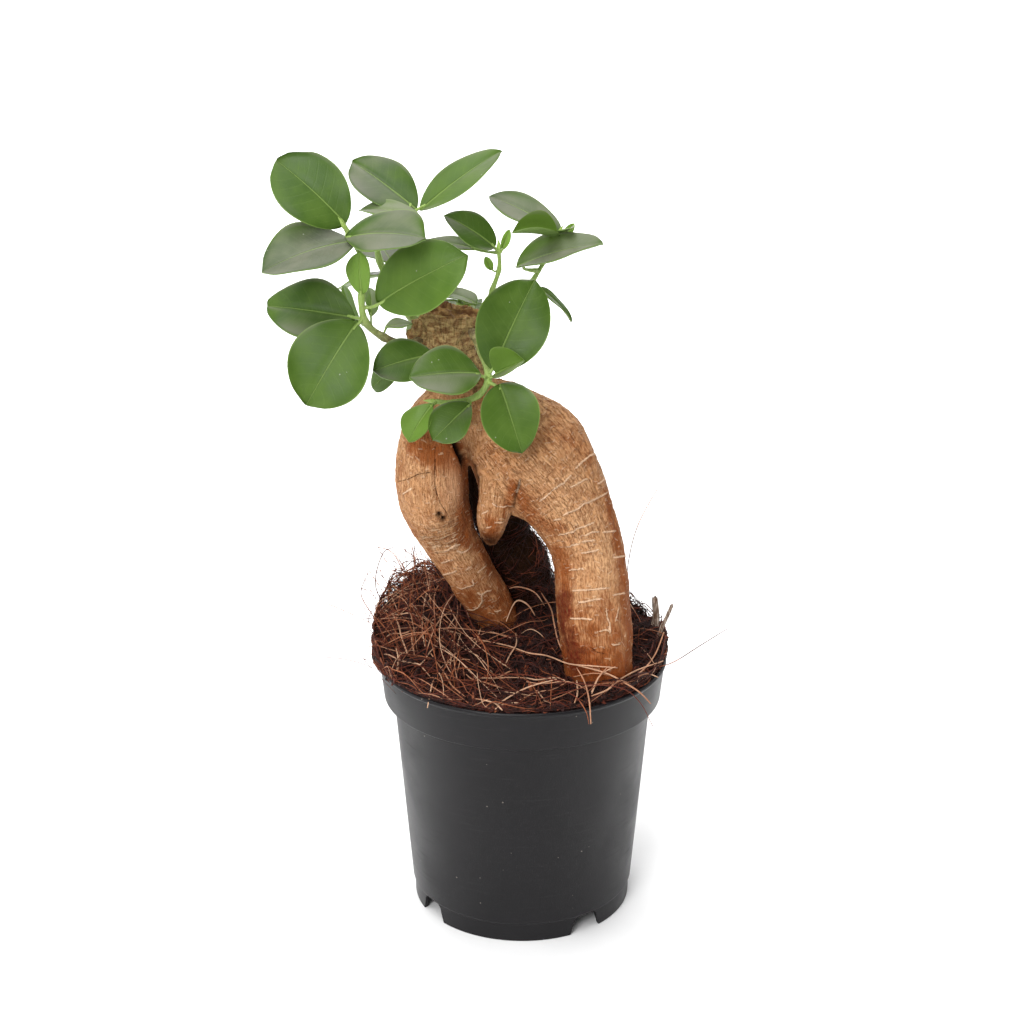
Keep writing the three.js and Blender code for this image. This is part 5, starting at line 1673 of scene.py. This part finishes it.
# %% Shoots
SHOOTS = {
    "shoot_left": ([(-30, -4, 183), (-34, -9, 183), (-40, -13, 186), (-45, -15, 191), (-46, -14, 198),
                    (-45, -12, 205), (-47, -12, 212), (-50, -12, 217)], 1.0, [
        ((-50, -12, 218.5), (-69.5, -7, 235.6), 19.5, (0.1, -1, 0.42), 0.52, 0.10, 0.05, 0.5),
        ((-50, -14, 215), (-27, -25, 217), 19, (0.1, -0.7, 1), 0.6, 0.05),
        ((-46, -13, 214), (-73, -22, 207), 23, (-0.2, -0.5, 1), 0.6, 0.0),
        ((-48, -13, 192), (-75, -8, 194), 19, (-0.1, -1, 0.7), 0.46, 0.05, 0.05, 0.8),
        ((-47, -17, 191), (-62, -24, 169), 24, (0, -1, 0.45), 0.52, 0.12),
        ((-41, -15, 196), (-16, -22, 212), 20.5, (0.1, -1, 0.55), 0.52, 0.2),
        ((-46, -15, 199), (-46, -15, 211), 8, (-0.5, -1, 0.2), 0.5, 0.7),
        ((-47, -8, 189), (-53, 2, 198), 6, (-1, -0.3, 0.4), 0.5, 0.5),
        ((-44, -7, 191), (-45, 4, 197), 5, (0.5, -1, 0.2), 0.5, 0.6),
        ((-26, -12, 181), (-43, -17, 177), 13, (0, -0.9, 0.5), 0.5, 0.0),
        ((-36, -6, 177), (-45, 1, 167), 8, (-0.3, -1, 0.5), 0.5, 0.2),
        ((-40, -9, 188), (-32, -8, 189), 6, (0, -0.2, 1), 0.5, 0.4),
    ]),
    "shoot_left_top": ([(-27, 3, 186), (-33, 4, 188), (-38, 4, 196), (-42, 4, 205), (-42, 4, 212),
                        (-39, 4, 217)], 0.6, [
        ((-31, 6, 220), (-51, 22, 231), 15.5, (0.1, -1, 0.7), 0.5, 0.0),
        ((-30, 3, 220), (-6, 8, 236), 10.5, (-0.3, -1, 0.9), 0.5, 0.2),
        ((-30, 0, 219), (-48, 8, 219), 8, (0, -0.4, 1), 0.5, 0.3),
    ]),
    "shoot_front": ([(-15, -5, 186), (-12, -11, 181), (-10, -17, 175), (-13, -18, 170), (-20, -18, 168),
                     (-25, -17, 168)], 0.75, [
        ((-12, -20, 177), (-32, -26, 178), 16, (0, -0.8, 0.8), 0.52, 0.1),
        ((-7, -20, 174), (0, -25, 155), 17, (0.1, -1, 0.4), 0.42, 0.12),
        ((-15, -20, 168), (-26, -25, 159), 12, (-0.1, -0.9, 0.6), 0.55, 0.05),
        ((-26, -19, 168), (-33, -21, 157), 9, (-0.6, -1, 0.3), 0.55, 0.5, 0.2),
        ((-9, -17.5, 177.5), (3.5, -10, 202), 21, (0.1, -1, 0.45), 0.5, 0.0),
        ((-8, -20, 177), (0, -24, 182), 9, (0, -1, 0.8), 0.55, 0.45, 0.6, 0.45),
    ]),
    "shoot_right": ([(-16, 3, 184), (-11, 5, 190), (-9, 5, 196), (-7, 5, 202), (-7, 5, 207)], 0.3, [
        ((-8, 4, 209), (-23, 5, 218), 10.5, (0.4, -1, 0.9), 0.42, 0.0),
        ((-14, 6, 208), (-30, 12, 209), 6, (0, -0.4, 1), 0.5, 0.1),
        ((-6, 4, 208), (-4, 4, 214), 2.6, (0, -1, 0.3), 0.5, 0.9),
        ((-9, 4, 202), (-11, 4, 206), 2.6, (0, -1, 0.3), 0.5, 0.9),
    ]),
    "shoot_right_far": ([(-15, 3, 176), (-8, 8, 183), (-2, 9, 190), (3, 9, 198), (7, 8, 205),
                         (10, 8, 211)], 0.3, [
        ((11, 9, 212), (-10, 22, 221), 12, (0.3, -0.7, 1.0), 0.5, 0.0),
        ((10, 6, 211.5), (-3, 0, 214), 6.5, (0, -0.8, 1), 0.5, 0.5, 0.8, 0.45),
        ((11, 7, 212), (14, 2, 215), 5, (0.3, -0.6, 1), 0.5, 0.3),
        ((-2, 3, 203.5), (23, -2, 211), 14, (0, -0.4, 1), 0.45, 0.0, 0.12, 0.45),
        ((5, 12, 195), (15, 16, 184), 6, (0.3, -0.3, 1), 0.5, 0.1),
        ((12, 8, 211), (15, 8, 215), 2.6, (0, -1, 0.3), 0.5, 0.9),
        ((-1, 15, 190), (-1, 29, 179), 13, (0.2, 0.6, 1), 0.5, 0.1),
    ]),
    "shoot_back": ([(-20, 5, 182), (-20, 13, 186), (-19, 20, 189), (-17, 26, 190)], 0.5, [
        ((-14, 18, 189), (-24, 26, 191), 8, (0, -0.25, 1), 0.5, 0.3),
        ((-15, 28, 187), (-9, 44, 172), 16, (0.1, 0.8, 0.8), 0.5, 0.1),
        ((-20, 27, 188), (-22, 46, 178), 17, (0, 0.5, 1), 0.5, 0.0),
        ((-22, 23, 185), (-34, 38, 172), 15, (-0.5, 0.6, 0.9), 0.5, 0.15),
        ((-14, 22, 185), (3, 34, 171), 15, (0.5, 0.7, 0.8), 0.5, 0.1),
    ]),
    "shoot_back_left": ([(-24, 4, 178), (-31, 11, 186), (-36, 17, 193), (-38, 21, 198)], 0.5, [
        ((-36, 22, 199), (-23, 35, 195), 15, (0.2, 0.3, 1), 0.5, 0.1),
        ((-40, 22, 197), (-56, 34, 190), 15, (-0.4, 0.2, 1), 0.5, 0.05),
        ((-39, 23, 200), (-47, 42, 204), 16, (0, -0.2, 1), 0.5, 0.0),
        ((-33, 19, 189), (-34, 36, 181), 13, (0, 0.6, 1), 0.5, 0.2),
    ]),
}

print("leaves:", sum(len(leaves) for _, _, leaves in SHOOTS.values()))

# %% Build the shoots
SLIM_STEMS = {"shoot_front": 1.25, "shoot_right": 1.0, "shoot_right_far": 1.0}
BUD_LENGTH = 4
LEAF_SHARP_ANGLE = 50

shoot_pieces = {}
for number, (name, (stem, woody, leaves)) in enumerate(SHOOTS.items()):
    shoot_bm = bmesh.new()
    layers = {key: shoot_bm.verts.layers.float_vector.new("leaf_" + key) for key in ("way", "look")}
    for i, leaf in enumerate(leaves):
        add_blade(shoot_bm, layers, leaf, 1.7 * i + 5.1 * number)
    blade_faces = len(shoot_bm.faces)
    stem_line = add_stem(shoot_bm, layers, stem, woody, SLIM_STEMS.get(name, STEM_RADIUS))
    for leaf in leaves:
        add_stalk(shoot_bm, layers, stem_line, leaf, woody)
    add_bud(shoot_bm, layers, stem_line[-1], stem_line[-1] - stem_line[-2], BUD_LENGTH)
    shoot_bm.faces.ensure_lookup_table()
    for face in shoot_bm.faces[blade_faces:]:
        face.material_index = 1
    piece = to_object("leafy_" + name, shoot_bm, leaf_skin, stem_skin, sharp_angle=LEAF_SHARP_ANGLE)
    # How much each point faces up, for the leaf's painted sheen.
    keep_attribute(piece, "leaf_painted_sheen", eased(point_values(piece, "normal")[:, 2], 0.58, 0.95))
    report(piece)
    shoot_pieces[name] = piece

# %% [markdown]
# Every piece rides on the one body, and each finer piece stands for the solid that it refines.

# %% Tie the pieces to the imported model
replacements = {
    "pot": ("pot", [pot]),
    "coir_soil": ("soil", [bed, short_fibres, side_fibres, long_fibres, top_fibres, root_hairs,
                           standing_fibres, crumbs, twigs]),
    "rootstock": ("bark", [rootstock]),
    **{name: ("leaf", [piece]) for name, piece in shoot_pieces.items()},
}
for node_name, (slot_name, pieces) in replacements.items():
    for piece in pieces:
        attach(piece, "root")
    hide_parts(node_name)
print("pieces:", sum(len(pieces) for _, pieces in replacements.values()))

# %% [markdown]
# The plant stands on a plain white sweep: a floor that curves up behind, so that no horizon shows.
# One soft light hangs above, a stronger one stands at the front left, and a weak one on each side
# fills the shadows. A last one only lights the sweep, and a pale sky lights the rest.

# %% Floor
FLOOR_SIZE = 4.0
SWEEP_BACK = 2.2
SWEEP_HEIGHT = 3.5
SWEEP_ROUND = 1.2
paper, tree, shader, place = new_material("white_paper", roughness=0.9, specular=0.2)
tooth = use_effect(tree, cloudy, place, Scale=30, Low=0.3, High=0.7)
feed(tree, tint(tree, tooth, (0.90, 0.90, 0.90), (0.93, 0.93, 0.93)), shader, "Base Color")
floor_bm = bmesh.new()
sweep = draw_chain(floor_bm, [(-FLOOR_SIZE, -FLOOR_SIZE, 0), (-FLOOR_SIZE, SWEEP_BACK, 0),
                              (-FLOOR_SIZE, SWEEP_BACK, SWEEP_HEIGHT)])
bmesh.ops.bevel(floor_bm, geom=[sweep[1]], offset=SWEEP_ROUND, segments=16, profile=0.5,
                affect="VERTICES", material=-1)
drawn = bmesh.ops.extrude_edge_only(floor_bm, edges=floor_bm.edges)["geom"]
bmesh.ops.translate(floor_bm, vec=(2 * FLOOR_SIZE, 0, 0),
                    verts=[item for item in drawn if isinstance(item, bmesh.types.BMVert)])
floor_mesh = bpy.data.meshes.new("paper_sweep")
bmesh.ops.recalc_face_normals(floor_bm, faces=floor_bm.faces)
floor_bm.to_mesh(floor_mesh)
floor_bm.free()
floor_mesh.materials.append(paper)
floor_mesh.polygons.foreach_set("use_smooth", [True] * len(floor_mesh.polygons))
floor = link("paper_sweep", floor_mesh)
print("sweep faces:", len(floor_mesh.polygons))

# %% Lights
PLANT_MIDDLE = AXIS + Vector((0, 0, 0.12))
SWEEP_MIDDLE = Vector((0, 2.1, 0.5))
SKY_STRENGTH = 0.2


def soft_light(name, place, size, power, target=PLANT_MIDDLE):
    """A square soft light that looks at the plant, or at another target."""
    light = bpy.data.lights.new(name, "AREA")
    light.size = size
    light.energy = power
    lamp = link(name, light)
    lamp.location = place
    lamp.rotation_euler = (Vector(place) - target).to_track_quat("Z", "Y").to_euler()


soft_light("overhead_softbox", (-0.20, -0.20, 1.05), size=0.8, power=9)
soft_light("front_softbox", (-0.42, -1.15, 0.78), size=0.55, power=13)
soft_light("left_card", (-0.95, -0.05, 0.30), size=0.7, power=2.2)
soft_light("right_card", (0.95, -0.05, 0.30), size=0.7, power=1.8)
soft_light("backdrop_light", (0, 0.75, 1.5), size=1.2, power=60, target=SWEEP_MIDDLE)
world = bpy.data.worlds.new("pale_sky")
world.use_nodes = True
sky = world.node_tree.nodes["Background"].inputs
sky["Color"].default_value = (1, 1, 1, 1)
sky["Strength"].default_value = SKY_STRENGTH
bpy.context.scene.world = world
bpy.context.scene.view_settings.view_transform = "Standard"

# %% [markdown]
# The camera looks a little down on the plant from the front, from about half a metre away, as a
# hand held at chest height would. Its place comes from the target, the distance and the angle.

# %% Camera
CAMERA_TARGET = AXIS + Vector((-3.2, 0, 128.5)) * MM
CAMERA_DISTANCE = 0.55
CAMERA_ELEVATION = math.radians(19)
SENSOR_WIDTH = 36
LENS = 63.6
camera_data = bpy.data.cameras.new("camera")
camera_data.sensor_width = SENSOR_WIDTH
camera_data.lens = LENS
camera = link("camera", camera_data)
back = Vector((0, -math.cos(CAMERA_ELEVATION), math.sin(CAMERA_ELEVATION)))
camera.location = CAMERA_TARGET + back * CAMERA_DISTANCE
camera.rotation_euler = back.to_track_quat("Z", "Y").to_euler()
bpy.context.scene.camera = camera
print("camera at", [round(value, 3) for value in camera.location])
